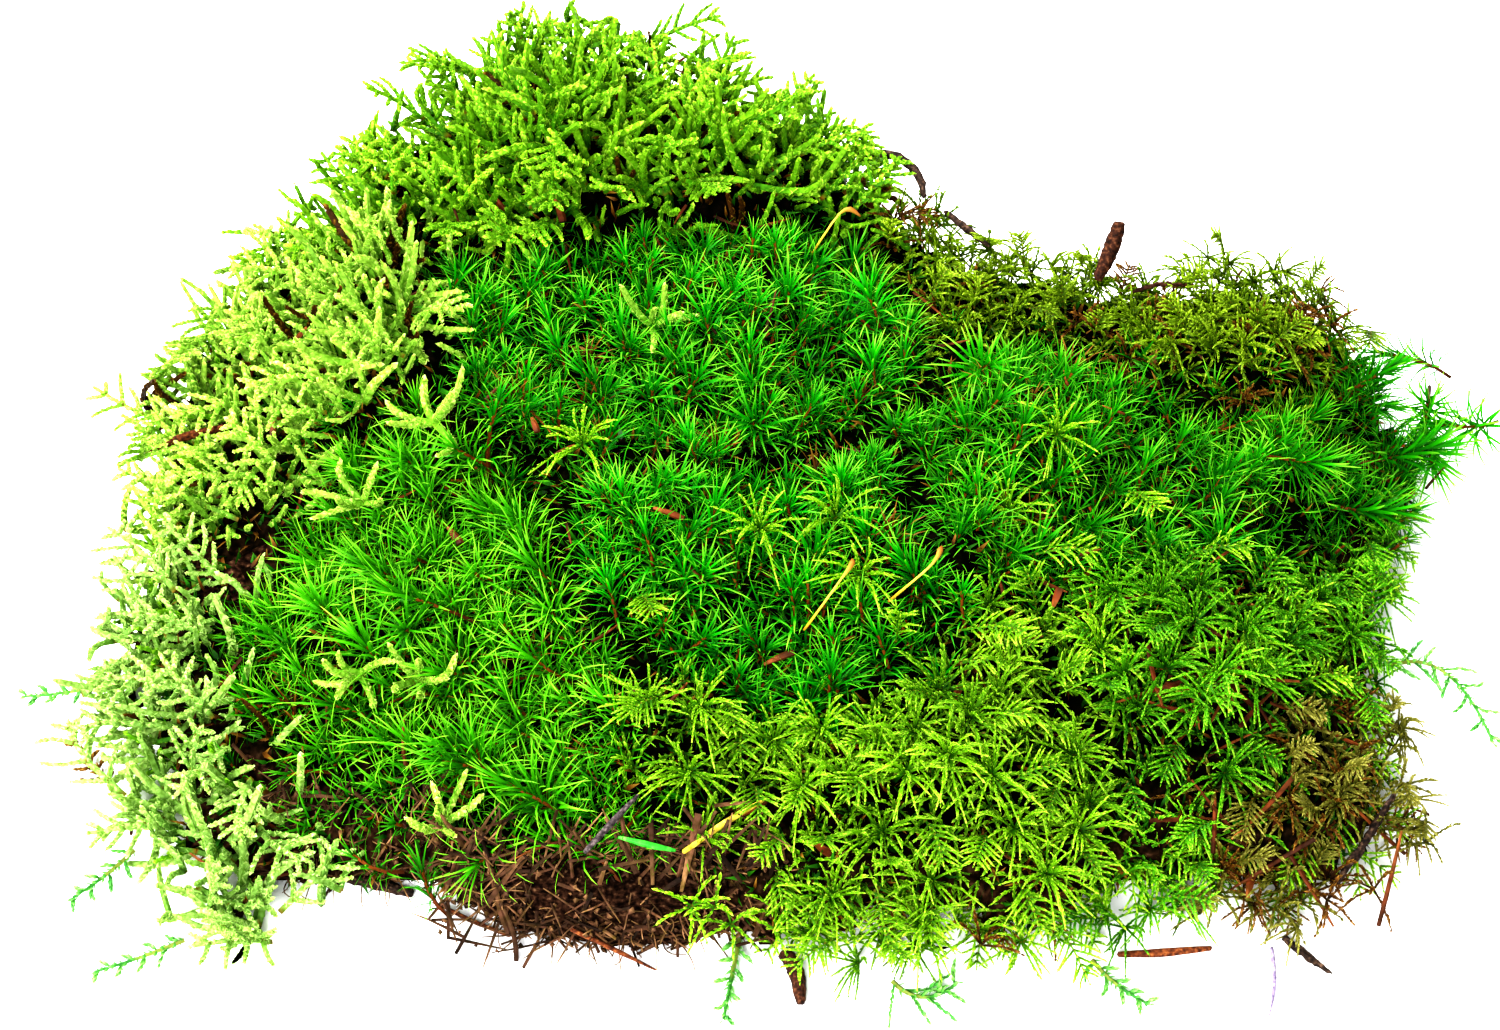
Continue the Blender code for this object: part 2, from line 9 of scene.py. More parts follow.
import bpy
import numpy as np
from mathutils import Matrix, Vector


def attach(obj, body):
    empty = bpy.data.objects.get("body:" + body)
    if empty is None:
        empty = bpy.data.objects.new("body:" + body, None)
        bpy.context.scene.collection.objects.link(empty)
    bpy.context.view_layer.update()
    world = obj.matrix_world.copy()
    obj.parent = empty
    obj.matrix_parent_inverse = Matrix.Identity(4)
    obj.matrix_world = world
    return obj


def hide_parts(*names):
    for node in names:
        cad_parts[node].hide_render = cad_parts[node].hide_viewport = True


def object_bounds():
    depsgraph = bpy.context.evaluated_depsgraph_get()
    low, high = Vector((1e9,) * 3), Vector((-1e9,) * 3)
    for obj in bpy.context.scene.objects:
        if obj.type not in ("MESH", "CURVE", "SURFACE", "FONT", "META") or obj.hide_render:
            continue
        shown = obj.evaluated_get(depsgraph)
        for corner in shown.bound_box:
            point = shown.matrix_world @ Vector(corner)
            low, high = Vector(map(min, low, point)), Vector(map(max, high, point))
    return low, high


MM = 0.001
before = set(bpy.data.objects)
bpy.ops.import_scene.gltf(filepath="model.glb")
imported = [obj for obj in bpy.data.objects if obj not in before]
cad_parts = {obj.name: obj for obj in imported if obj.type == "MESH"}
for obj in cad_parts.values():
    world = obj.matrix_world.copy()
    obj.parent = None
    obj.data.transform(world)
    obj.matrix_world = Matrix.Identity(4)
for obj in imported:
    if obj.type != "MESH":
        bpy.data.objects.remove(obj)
size_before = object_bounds()
low, high = (np.array(corner) / MM for corner in size_before)
print("frame:", len(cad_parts), "nodes,", np.round(high - low, 1), "mm")

# %% [markdown]
# ## Camera
# The clump was seen from the front, 50 degrees above the ground. The lens is long, so the far
# side is hardly smaller than the near one. The distance follows from the clump's width and the
# share of the picture's width that it fills.

# %% Camera
VIEW_HEIGHT = 50.0  # degrees above the horizon
VIEW_DISTANCE = 559.0  # from the point that the camera looks at
AIM = np.array([0.0, -15.0, 25.0])
LENS = 62.4  # focal length

tilt = math.radians(VIEW_HEIGHT)
eye = AIM + VIEW_DISTANCE * np.array([0.0, -math.cos(tilt), math.sin(tilt)])
camera = bpy.data.objects.new("camera", bpy.data.cameras.new("camera"))
camera.data.lens = LENS
camera.data.clip_start = 0.01
camera.location = eye * MM
camera.rotation_euler = (math.pi / 2 - tilt, 0.0, 0.0)
bpy.context.scene.collection.objects.link(camera)
bpy.context.scene.camera = camera
print("camera at", np.round(eye, 1))

# %% [markdown]
# ## Materials
# A moss leaf is one cell thick, so light comes through it as well as off it: a Principled shader
# for the waxy upper side is mixed with a Translucent one. The colour runs from the leaf's foot to
# its tip. Each leaf has its place on a paint chart in its UV map: across is the tint, from the
# deep to the bright variety, and up is the way from foot to tip, with the stem's paint at the
# bottom of the chart. The deep side's dark colours, darkest at the foot, are partly painted shade
# for leaves low among the shoots.

# %% Colours and nodes
STEM_SHARE = 0.2  # part of the chart's height that is the stem's paint
LEAF_COLORS = (0.22, 1.0)  # heights on the chart between which a leaf's colours run
LEAF_PLACES = (0.23, 0.99)  # heights between which a leaf's points have their places
DEAD_TINTS = 0.06  # the chart's left edge, which holds dead leaves' paint
DEAD_TINT = DEAD_TINTS / 2
LIVING, BRIGHTEST = 0.09, 0.98  # least and most tint of a living leaf
DEAD_COLORS = ("#1e0e04", "#58380e", "#9a7630")


def linear(color):
    """Linear RGBA of an sRGB hex value."""
    channels = np.array([int(color[i : i + 2], 16) for i in (1, 3, 5)]) / 255
    low_end = channels / 12.92
    return (*np.where(channels <= 0.04045, low_end, ((channels + 0.055) / 1.055) ** 2.4), 1.0)


def add_node(tree, kind, settings=None, links=None):
    """A node with its settings, and its inputs linked to other nodes' sockets or set to values."""
    node = tree.nodes.new(kind)
    for key, value in (settings or {}).items():
        setattr(node, key, value)
    for key, value in (links or {}).items():
        if isinstance(value, bpy.types.NodeSocket):
            tree.links.new(value, node.inputs[key])
        else:
            node.inputs[key].default_value = value
    return node


def add_ramp(tree, factor, stops):
    """A colour ramp's colour socket; stops are (place, hex colour) pairs."""
    ramp = add_node(tree, "ShaderNodeValToRGB", links={"Fac": factor})
    elements = ramp.color_ramp.elements
    while len(elements) < len(stops):
        elements.new(0.5)
    for element, (place, color) in zip(elements, stops):
        element.position = place
        element.color = linear(color)
    return ramp.outputs["Color"]


def new_material(name):
    """A material and its empty node tree."""
    material = bpy.data.materials.new(name)
    material.use_nodes = True
    material.node_tree.nodes.clear()
    return material, material.node_tree


def mixed_color(tree, factor, first, second, blend="MIX"):
    """The colour socket of a mix of two colours."""
    settings = {"data_type": "RGBA", "blend_type": blend}
    return add_node(tree, "ShaderNodeMix", settings, {0: factor, 6: first, 7: second}).outputs[2]


LEAF_SHINE = 0.08  # the wax on a moss leaf is thin


def leaf_material(name, stem, deep, bright, roughness=0.5, through=0.35, scales=0.0):
    """Moss leaf: deep and bright are the colours from foot to tip of the chart's two sides.

    through is the share of the light that comes through the leaf. scales, in millimetres, is the
    width of cells whose edges get painted shade, like the shade between overlapping scales.
    """
    material, tree = new_material(name)
    chart = add_node(tree, "ShaderNodeUVMap", {"uv_map": "OFBake"})
    axes = add_node(tree, "ShaderNodeSeparateXYZ", links={"Vector": chart.outputs["UV"]})
    sides = []
    for colors in (deep, bright, DEAD_COLORS):
        heights = np.linspace(*LEAF_COLORS, len(colors))
        stops = [(0.0, stem[0]), (STEM_SHARE, stem[1]), *zip(heights, colors)]
        sides.append(add_ramp(tree, axes.outputs["Y"], stops))
    living = mixed_color(tree, axes.outputs["X"], sides[0], sides[1])
    is_dead = add_node(
        tree, "ShaderNodeMath", {"operation": "LESS_THAN"}, {0: axes.outputs["X"], 1: DEAD_TINTS}
    ).outputs[0]
    color = mixed_color(tree, is_dead, living, sides[2])
    # Painted shade: a Voronoi pattern darkens the edge of every cell.
    if scales:
        place = add_node(tree, "ShaderNodeTexCoord").outputs["Object"]
        cells = add_node(
            tree, "ShaderNodeTexVoronoi", links={"Vector": place, "Scale": 1 / (scales * MM)}
        ).outputs["Distance"]
        shade = add_ramp(tree, cells, [(0.3, "#ffffff"), (0.85, "#b4c08c")])
        color = mixed_color(tree, 1.0, color, shade, "MULTIPLY")
    waxy = add_node(
        tree, "ShaderNodeBsdfPrincipled",
        links={"Base Color": color, "Roughness": roughness, "Specular IOR Level": LEAF_SHINE},
    )
    glow = add_node(tree, "ShaderNodeBsdfTranslucent", links={"Color": color})
    both = add_node(
        tree, "ShaderNodeMixShader", links={0: through, 1: waxy.outputs[0], 2: glow.outputs[0]}
    )
    add_node(tree, "ShaderNodeOutputMaterial", links={"Surface": both.outputs[0]})
    return material


BELOW_PAINTED_SHADE = 0.6  # below this share of the foot's height all is brown, clear of the painted shade above


def litter_material(name, stops, scale_mm=0.8, roughness=0.8, shine=0.1, foot=None):
    """Dead matter: a noise with lumps of scale_mm runs through the colours in stops.

    foot is a height in millimetres and the stops for what lies lower, in brown; higher up the main
    stops hold, which on the bed are near-black painted shade.
    """
    material, tree = new_material(name)
    place = add_node(tree, "ShaderNodeTexCoord").outputs["Object"]
    noise = add_node(
        tree, "ShaderNodeTexNoise",
        links={"Vector": place, "Scale": 1 / (scale_mm * MM), "Detail": 4.0},
    )
    color = add_ramp(tree, noise.outputs["Fac"], stops)
    if foot:
        top, brown_stops = foot
        height = add_node(tree, "ShaderNodeSeparateXYZ", links={"Vector": place}).outputs["Z"]
        low_share = add_node(
            tree, "ShaderNodeMapRange",
            links={"Value": height, "From Min": BELOW_PAINTED_SHADE * top * MM, "From Max": top * MM,
                   "To Min": 1.0, "To Max": 0.0},
        ).outputs["Result"]
        brown = add_ramp(tree, noise.outputs["Fac"], brown_stops)
        color = mixed_color(tree, low_share, color, brown)
    skin = add_node(
        tree, "ShaderNodeBsdfPrincipled",
        links={"Base Color": color, "Roughness": roughness, "Specular IOR Level": shine},
    )
    add_node(tree, "ShaderNodeOutputMaterial", links={"Surface": skin.outputs[0]})
    return material


# %% [markdown]
# ## Shapes from arrays
# Every moss here is a stalk with leaves round it, so two shapes are enough. A stalk is a tube
# along a curve with three control points. A leaf is a thin sheet whose angle to the stalk changes
# steadily from its foot to its tip. Thousands are made at once: the arrays' first axis is
# the stalk, the second the leaf, and the last the coordinate.

# %% Stalks
FULL_TURN = 2 * math.pi


def unit(vectors):
    """Vectors with length 1."""
    return vectors / np.maximum(np.linalg.norm(vectors, axis=-1, keepdims=True), 1e-9)


def along_curve(controls, s):
    """Point and direction at s of curves with controls A, B, C: (1-s)^2 A + 2s(1-s) B + s^2 C."""
    a, b, c = (controls[:, None, k] for k in range(3))
    s = np.asarray(s)[..., None]
    point = (1 - s) ** 2 * a + 2 * s * (1 - s) * b + s**2 * c
    return point, unit((1 - s) * (b - a) + s * (c - b))


def across(direction):
    """Two unit vectors square to each direction: one level, to its side, and one over it."""
    side = unit(np.cross(direction, np.array([0.05, 0.02, 1.0])))
    return side, np.cross(side, direction)


def turned(side, over, turn):
    """The way at angle turn round a direction: cos turn side + sin turn over."""
    return np.cos(turn)[..., None] * side + np.sin(turn)[..., None] * over


def joined(shapes):
    """One shape out of many; a shape is (points, triangles, chart places)."""
    starts = np.cumsum([0] + [len(shape[0]) for shape in shapes[:-1]])
    points = np.vstack([shape[0] for shape in shapes])
    faces = np.vstack([shape[1] + start for shape, start in zip(shapes, starts)])
    return points, faces, np.vstack([shape[2] for shape in shapes])


def repeated(points, template, chart):
    """Shape of many copies of one small mesh: points is (copies, corners, 3)."""
    copies, corners = points.shape[:2]
    faces = template[None] + (np.arange(copies) * corners)[:, None, None]
    return points.reshape(-1, 3), faces.reshape(-1, 3), chart.reshape(-1, 2)


def ring_faces(rings, sides):
    """Triangles that join rings of points into a closed tube, with a fan on either end."""
    level, i = np.divmod(np.arange((rings - 1) * sides), sides)
    a, b = level * sides + i, level * sides + (i + 1) % sides
    body = np.stack([a, b, b + sides, a, b + sides, a + sides], axis=-1).reshape(-1, 3)
    fan = np.arange(1, sides - 1)
    foot = np.stack([np.zeros_like(fan), fan + 1, fan], axis=-1)
    top = (rings - 1) * sides + np.stack([np.zeros_like(fan), fan, fan + 1], axis=-1)
    return np.vstack([body, foot, top])


def stalks(controls, radii, tint, rings=5, sides=4, paint=(0.0, STEM_SHARE), belly=0.0, flat=1.0):
    """Tubes p(s) + r(s) (cos f side + flat sin f over), where
    r(s) = (foot radius + (tip radius - foot radius) s) (1 + belly 4 s (1 - s))."""
    s = np.linspace(0, 1, rings)
    copies = len(controls)
    point, direction = along_curve(controls, np.broadcast_to(s, (copies, rings)))
    side, over = across(direction)
    angle = np.arange(sides) * FULL_TURN / sides
    foot, tip = (np.broadcast_to(radius, (copies,))[:, None] for radius in radii)
    radius = (foot + (tip - foot) * s) * (1 + belly * 4 * s * (1 - s))
    ring = np.cos(angle)[:, None] * side[:, :, None]
    ring = ring + flat * np.sin(angle)[:, None] * over[:, :, None]
    points = point[:, :, None] + radius[..., None, None] * ring
    u = np.broadcast_to(tint[:, None, None] + 0.01 * np.cos(angle), (copies, rings, sides))
    v = np.broadcast_to((paint[0] + (paint[1] - paint[0]) * s)[None, :, None], u.shape)
    chart = np.clip(np.stack([u, v], axis=-1), 0.0, 1.0)
    return repeated(
        points.reshape(copies, rings * sides, 3), ring_faces(rings, sides),
        chart.reshape(copies, rings * sides, 2),
    )


# %% Leaves
def blades(foot, stem, out, length, width, angle, curl, tint, stations=(0.0, 0.3, 0.6, 0.85),
           profile=(0.75, 1.0, 0.7, 0.34)):
    """Leaves of a given full width, each a single sheet, since a moss leaf is one cell thick.

    The angle between leaf and stem is a(t) = angle + curl t, so the midrib is
    foot + length ((sin a - sin angle) stem + (cos angle - cos a) out) / curl. Each station gives a
    left and a right edge. A first station without width is one point.
    """
    t = np.append(stations, 1.0)[:, None]
    curl = np.where(np.abs(curl) < 1e-3, 1e-3, curl)[:, None, None]
    start = angle[:, None, None]
    turn = start + curl * t
    stem, out = stem[:, None], out[:, None]
    reach = length[:, None, None] / curl
    midrib = foot[:, None] + reach * (
        (np.sin(turn) - np.sin(start)) * stem + (np.cos(start) - np.cos(turn)) * out
    )
    half = 0.5 * width[:, None, None] * np.append(profile, 0.0)[:, None] * np.cross(stem, out)
    edges = np.stack([midrib + half, midrib - half], axis=2)
    count = len(stations)
    points = edges.reshape(len(foot), 2 * count + 2, 3)[:, :-1]
    k = 2 * np.arange(count - 1)
    strip = np.vstack([np.column_stack([k, k + 1, k + 3]), np.column_stack([k, k + 3, k + 2])])
    template = np.vstack([strip, [[2 * count - 2, 2 * count - 1, 2 * count]]])
    u = np.clip(tint[:, None] + np.append(np.tile([-0.012, 0.012], count), 0.0), 0.0, 1.0)
    v = np.interp(np.append(np.repeat(stations, 2), 1.0), (0, 1), LEAF_PLACES)
    chart = np.stack([u, np.broadcast_to(v, u.shape)], axis=-1)
    if profile[0] == 0.0:
        template = np.maximum(template[1:] - 1, 0)
        points, chart = points[:, 1:], chart[:, 1:]
    return repeated(points, template, chart)


GOLDEN_ANGLE = math.radians(137.5)
STRAY = 0.15  # radians by which a leaf may miss its turn
POINTED = {"stations": (0.0, 0.4), "profile": (0.0, 1.0)}  # narrow at the foot and at the tip


def varied(rng, values, amount):
    """Values each multiplied by a random factor between 1 - amount and 1 + amount."""
    return values * rng.uniform(1 - amount, 1 + amount, values.shape)


def leafy(rng, controls, count, span, length, width, angle, curl, tint, size=1.0, spread=1.0,
          **blade):
    """Leaves up each stalk from span[0] to span[1] of its length, each a golden angle further round.

    length, width, angle and curl are lists of values from the lowest leaf to the highest, and
    each leaf's own differ a little. size multiplies each stalk's lengths and spread its angles.
    """
    copies = len(controls)
    place = np.linspace(0, 1, count)
    s = span[0] + (span[1] - span[0]) * place
    point, direction = along_curve(controls, np.broadcast_to(s, (copies, count)))
    side, over = across(direction)
    phase = rng.uniform(0, FULL_TURN, (copies, 1))
    round_stem = phase + np.arange(count) * GOLDEN_ANGLE
    out = turned(side, over, round_stem + rng.uniform(-STRAY, STRAY, (copies, count)))
    rows = []
    for values, amount in ((length, 0.18), (width, 0.12), (np.radians(angle), 0.12), (curl, 0.3)):
        even = np.interp(place, np.linspace(0, 1, len(values)), values)
        rows.append(varied(rng, np.broadcast_to(even, (copies, count)), amount))
    rows[0] = rows[0] * np.broadcast_to(size, (copies,))[:, None]
    rows[1] = rows[1] * np.broadcast_to(size, (copies,))[:, None] ** 0.5
    rows[2] = rows[2] * np.broadcast_to(spread, (copies,))[:, None]
    shade = np.clip(tint[:, None] + rng.uniform(-0.12, 0.12, (copies, count)), LIVING, BRIGHTEST)
    shade = np.where(tint[:, None] < DEAD_TINTS, DEAD_TINT, shade)
    flat_rows = [row.reshape(-1) for row in (*rows, shade)]
    return blades(point.reshape(-1, 3), direction.reshape(-1, 3), out.reshape(-1, 3), *flat_rows,
                  **blade)


SIDEWAYS = np.array([1.0, 1.0, 0.3])  # leans and bends are mostly sideways


def leaned(growth, rng, amount):
    """Directions, each turned by a random lean."""
    return unit(growth + rng.normal(0, amount, growth.shape) * SIDEWAYS)


def tints(rng, count, least, most, dead=0.0):
    """A tint for each shoot, and the dead leaves' tint for that share of them."""
    return np.where(rng.uniform(0, 1, count) < dead, DEAD_TINT, rng.uniform(least, most, count))


def lumps(points, size):
    """A bumpy number from -1 to 1 over space: a product of sines with that spacing, twice."""
    p = points * (FULL_TURN / size)
    first = np.sin(p[:, 0] + 1.7 * np.sin(p[:, 1] * 0.7)) * np.sin(p[:, 1] + p[:, 2])
    second = np.sin(2.3 * p[:, 0] - p[:, 2]) * np.sin(2.1 * p[:, 1] + 1.3 * np.sin(p[:, 0]))
    return 0.6 * first + 0.4 * second


PATCH_WIDTH = 40.0


def patchy(rng, places, least, most, dead=0.0):
    """Tints that also drift from patch to patch."""
    drift = 0.25 * (most - least) * lumps(places, PATCH_WIDTH)
    mixed = tints(rng, len(places), least, most, dead)
    return np.where(mixed < DEAD_TINTS, mixed, np.clip(mixed + drift, LIVING, BRIGHTEST))


ON_GROUND = 0.05  # nothing reaches lower: what would go through the ground lies flat on it


def raised(points, least):
    """Points lifted to least above the ground where they lie lower."""
    return np.concatenate([points[..., :2], np.maximum(points[..., 2:], least)], axis=-1)


def add_piece(name, shape, material, nodes=(), smooth=False):
    """Puts a shape in the scene as one object on the clump, in place of the CAD nodes named."""
    points, faces, chart = shape
    points = raised(points, ON_GROUND) * MM
    mesh = bpy.data.meshes.new(name)
    mesh.vertices.add(len(points))
    mesh.vertices.foreach_set("co", points.astype(np.float32).ravel())
    mesh.loops.add(faces.size)
    mesh.loops.foreach_set("vertex_index", faces.astype(np.int32).ravel())
    mesh.polygons.add(len(faces))
    mesh.polygons.foreach_set("loop_start", np.arange(0, faces.size, 3, dtype=np.int32))
    mesh.polygons.foreach_set("use_smooth", np.full(len(faces), smooth))
    mesh.update(calc_edges=True)
    if chart is not None:
        layer = mesh.uv_layers.new(name="OFBake")
        layer.data.foreach_set("uv", chart[faces.ravel()].astype(np.float32).ravel())
    mesh.materials.append(material)
    made = bpy.data.objects.new(name, mesh)
    bpy.context.scene.collection.objects.link(made)
    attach(made, "root")
    if nodes:
        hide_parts(*nodes)
    print(f"{name}: {len(faces)} triangles")


# %% [markdown]
# ## Where the shoots stand
# Each colony's solid has a peak at every larger shoot's tip and a hollow between the tips, and
# along the rim its thin edge has a tooth at every shoot that sticks out. A vertex above all its
# neighbours is a peak. The heights between are a weighted mean of those round about.

# %% Peaks and rim teeth of the solids
RIM_THICKNESS, SLACK = 1.6, 0.3  # height of the solids' thin edge along the rim, give or take
TOP_SLOPE = 0.35  # a point whose normal has a larger z is on the top
TOOTH_SIZE = 1.2  # a tooth stands out this far from its neighbours


def edge_pairs(faces):
    """The two ends of each triangle's three edges, as numbers of points."""
    return np.vstack([faces[:, [0, 1]], faces[:, [1, 2]], faces[:, [2, 0]]])


def neighbours(faces):
    """Pairs of neighbouring points, each pair both ways round."""
    pairs = edge_pairs(faces)
    return np.vstack([pairs, pairs[:, ::-1]])


def squared_distances(first, second):
    """From each of the first points, down, to each of the second, across."""
    return ((first[:, None] - second[None]) ** 2).sum(axis=2)


def merged_mesh(node):
    """Points (mm) and triangles of a CAD node, with its loose triangles joined."""
    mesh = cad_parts[node].data
    corners = np.empty(len(mesh.vertices) * 3)
    mesh.vertices.foreach_get("co", corners)
    mesh.calc_loop_triangles()
    faces = np.empty(len(mesh.loop_triangles) * 3, np.int32)
    mesh.loop_triangles.foreach_get("vertices", faces)
    keys = np.round(corners.reshape(-1, 3) / MM, 3)
    points, index = np.unique(keys, axis=0, return_inverse=True)
    return points, index.reshape(-1)[faces].reshape(-1, 3)


def point_normals(points, faces):
    """Unit normals of the points: the sum of the area normals of the triangles round each."""
    a, b, c = (points[faces[:, k]] for k in range(3))
    area = np.cross(b - a, c - a)
    total = np.zeros_like(points)
    for k in range(3):
        np.add.at(total, faces[:, k], area)
    return unit(total)


def read_colony(node):
    """The colony's peaks and rim teeth, the ways in which the teeth point, and its mesh."""
    points, faces = merged_mesh(node)
    normals = point_normals(points, faces)
    links = neighbours(faces)
    highest = np.full(len(points), -np.inf)
    np.maximum.at(highest, links[:, 0], points[links[:, 1], 2])
    plan = np.round(points[:, :2], 1)
    _, twin, count = np.unique(plan, axis=0, return_inverse=True, return_counts=True)
    twin = twin.reshape(-1)
    top = np.full(len(count), -np.inf)
    np.maximum.at(top, twin, points[:, 2])
    bottom = np.full(len(count), np.inf)
    np.minimum.at(bottom, twin, points[:, 2])
    thin = np.abs(top - bottom - RIM_THICKNESS)[twin] < SLACK
    edge = thin & (points[:, 2] > top[twin] - 0.1)
    out = unit(normals[:, :2])
    rim_pairs = links[edge[links[:, 0]] & edge[links[:, 1]]]
    middle, pairs = np.zeros((len(points), 2)), np.zeros(len(points))
    np.add.at(middle, rim_pairs[:, 0], points[rim_pairs[:, 1], :2])
    np.add.at(pairs, rim_pairs[:, 0], 1)
    middle /= np.maximum(pairs, 1)[:, None]
    stands_out = ((points[:, :2] - middle) * out).sum(axis=1) > TOOTH_SIZE
    peak = (normals[:, 2] > TOP_SLOPE) & ~thin & (points[:, 2] > highest)
    tooth = edge & stands_out & (pairs > 0)
    return {"peaks": points[peak], "teeth": points[tooth], "out": out[tooth],
            "mesh": (points, faces)}


COLONIES = {
    "plume_moss_back": "plume_moss", "plume_moss_left": "plume_moss",
    "plume_moss_corner": "plume_moss", "star_moss_left": "star_moss",
    "star_moss_back": "star_moss", "star_moss_middle": "star_moss",
    "star_moss_right": "star_moss", "star_moss_rim": "star_moss",
    "creeping_moss_back": "creeping_moss", "feather_moss_front": "feather_moss",
    "feather_moss_right": "feather_moss", "creeping_moss_corner": "creeping_moss",
}
NUMBER = {node: number for number, node in enumerate(COLONIES)}
colonies = {node: read_colony(node) for node in COLONIES}
for node, colony in colonies.items():
    print(f"{node}: {len(colony['peaks'])} peaks and {len(colony['teeth'])} rim teeth")

# %% Heights and slopes of the clump's top
CANOPY_BLUR, TOPS_BLUR = 120.0, 4.0  # mm^2: shoots follow a much smoothed slope
OWNED = 4.0  # a colony owns what is nearer than this, in plan, to a point of its top


def on_mesh(rng, points, faces, spacing, wanted):
    """Random points and normals, one to each spacing^2 of area, on the triangles wanted.

    wanted is a test of the triangles' middles and normals.
    """
    a, b, c = (points[faces[:, k]] for k in range(3))
    area = np.cross(b - a, c - a)
    kept = wanted(a + (b + c - 2 * a) / 3, unit(area))
    size = np.where(kept, np.linalg.norm(area, axis=1) / 2, 0.0)
    count = int(size.sum() / spacing**2)
    chosen = rng.choice(len(faces), count, p=size / max(size.sum(), 1e-9)) if count else []
    p, q = rng.uniform(0, 1, (2, count, 1))
    p, q = np.where(p + q > 1, 1 - p, p), np.where(p + q > 1, 1 - q, q)
    return a[chosen] + p * (b - a)[chosen] + q * (c - a)[chosen], unit(area)[chosen]


canopy = np.vstack([np.vstack([c["peaks"], c["teeth"]]) for c in colonies.values()])
rng = np.random.default_rng(40)
tops = [on_mesh(rng, *c["mesh"], 3.0, lambda middle, normal: normal[:, 2] > 0.1)[0]
        for c in colonies.values()]
owner = np.repeat(np.arange(len(tops)), [len(top) for top in tops])
tops = np.vstack(tops)
print("places on top:", len(tops))


def mean_height(squares, heights, blur):
    """Mean of the heights, weighted by 1 / (distance^2 + blur)^2."""
    weights = 1.0 / (squares + blur) ** 2
    return (weights * heights).sum(axis=1) / weights.sum(axis=1)


def slope_out(plan):
    """Unit normals of the smoothed canopy over points in plan: minus its two slopes, and 1."""
    step = 4.0
    shifts = step * np.array([[1.0, 0.0], [-1.0, 0.0], [0.0, 1.0], [0.0, -1.0]])
    x1, x0, y1, y0 = (
        mean_height(squared_distances(plan + shift, canopy[:, :2]), canopy[:, 2], CANOPY_BLUR)
        for shift in shifts
    )
    slopes = (x0 - x1) / (2 * step), (y0 - y1) / (2 * step)
    return unit(np.column_stack([*slopes, np.ones(len(plan))]))


def nearest_tops(plan):
    """For each point in plan: the colony that owns it (-1 beside the clump) and its height."""
    squares = squared_distances(plan, tops[:, :2])
    colony = np.where(squares.min(axis=1) < OWNED**2, owner[squares.argmin(axis=1)], -1)
    return colony, mean_height(squares, tops[:, 2], TOPS_BLUR)


# %% Finer and smoother solids
def split_in_four(points, faces):
    """Each triangle as four, with a new point in the middle of every edge."""
    edges = np.sort(edge_pairs(faces), axis=1)
    pairs, index = np.unique(edges, axis=0, return_inverse=True)
    ab, bc, ca = index.reshape(-1).reshape(3, -1) + len(points)
    a, b, c = faces.T
    parts = [(a, ab, ca), (ab, b, bc), (ca, bc, c), (ab, bc, ca)]
    return (
        np.vstack([points, points[pairs].mean(axis=1)]),
        np.vstack([np.column_stack(part) for part in parts]),
    )


def smoothed(points, faces, times):
    """Each point moved to the mean of its neighbours, that many times."""
    links = neighbours(faces)
    for _ in range(times):
        total, count = np.zeros_like(points), np.zeros(len(points))
        np.add.at(total, links[:, 0], points[links[:, 1]])
        np.add.at(count, links[:, 0], 1)
        points = total / count[:, None]
    return points


surfaces = {}
for node, colony in colonies.items():
    points, faces = split_in_four(*colony["mesh"])
    surfaces[node] = smoothed(points, faces, 3), faces
skin = np.vstack([points for points, _ in surfaces.values()])
skin_owner = np.repeat(np.arange(len(surfaces)), [len(points) for points, _ in surfaces.values()])
print("points on the colonies' skins:", len(skin))


def nearest_colony(points):
    """The number of the colony whose skin is nearest to each point."""
    return skin_owner[::2][squared_distances(points, skin[::2]).argmin(axis=1)]


# %% Holes and bare strips
# Dark holes between the cushions: place in plan and radius.
HOLES = np.array([(-50, -11, 6), (34, -16, 6), (98, -57, 6), (-14, 61, 5), (4, 22, 4),
                  (60, -38, 4), (-30, -30, 4), (78, -70, 5)], float)
FRONT_BANK = {"x": (-62.0, 4.0), "y": (-108.0, -90.0), "z": (2.0, 19.0)}  # where the duff shows
LEFT_OF_BANK = (-100.0, FRONT_BANK["x"][0])
# Strips of the front rim where the duff or a twig lies bare: x from and to, the y behind which all
# grows, and the largest share of the shoots that may grow in front of it.
BARE = ((*FRONT_BANK["x"], -89.0, 1.0), (*LEFT_OF_BANK, -87.0, 0.0), (117.0, 136.0, -88.0, 0.0))


def outside_holes(points):
    """Which points stand clear of the holes."""
    return (squared_distances(points[:, :2], HOLES[:, :2]) > HOLES[:, 2] ** 2).all(axis=1)


def within(values, ends):
    """Which values lie between the two ends."""
    return (values > ends[0]) & (values < ends[1])


def off_bare(rng, points, share):
    """Which points grow: all beside the bare strips, and on a strip that share or its own."""
    growing = np.ones(len(points))
    for start, end, behind, most in BARE:
        growing[within(points[:, 0], (start, end)) & (points[:, 1] < behind)] = min(share, most)
    return rng.uniform(0, 1, len(points)) < growing


# %% The clump in plan, and its gaps
CELL = 3.0
MARGIN = 15.0  # of the plan, beside the clump


def plan_grid(start, end, spacing):
    """The x and y, as tables, of a grid over a rectangle in plan, and its points in one list."""
    x, y = np.meshgrid(*(np.arange(start[axis], end[axis], spacing) for axis in (0, 1)))
    return x, y, np.column_stack([x.ravel(), y.ravel()])


def grown(inside, steps):
    """A plan's True cells grown by that many steps, or shrunk where steps is negative."""
    reduce = np.logical_or.reduce if steps > 0 else np.logical_and.reduce
    for _ in range(abs(steps)):
        moved = [np.roll(inside, way, axis) for axis in (0, 1) for way in (-1, 1)]
        inside = reduce([inside, *moved])
    return inside


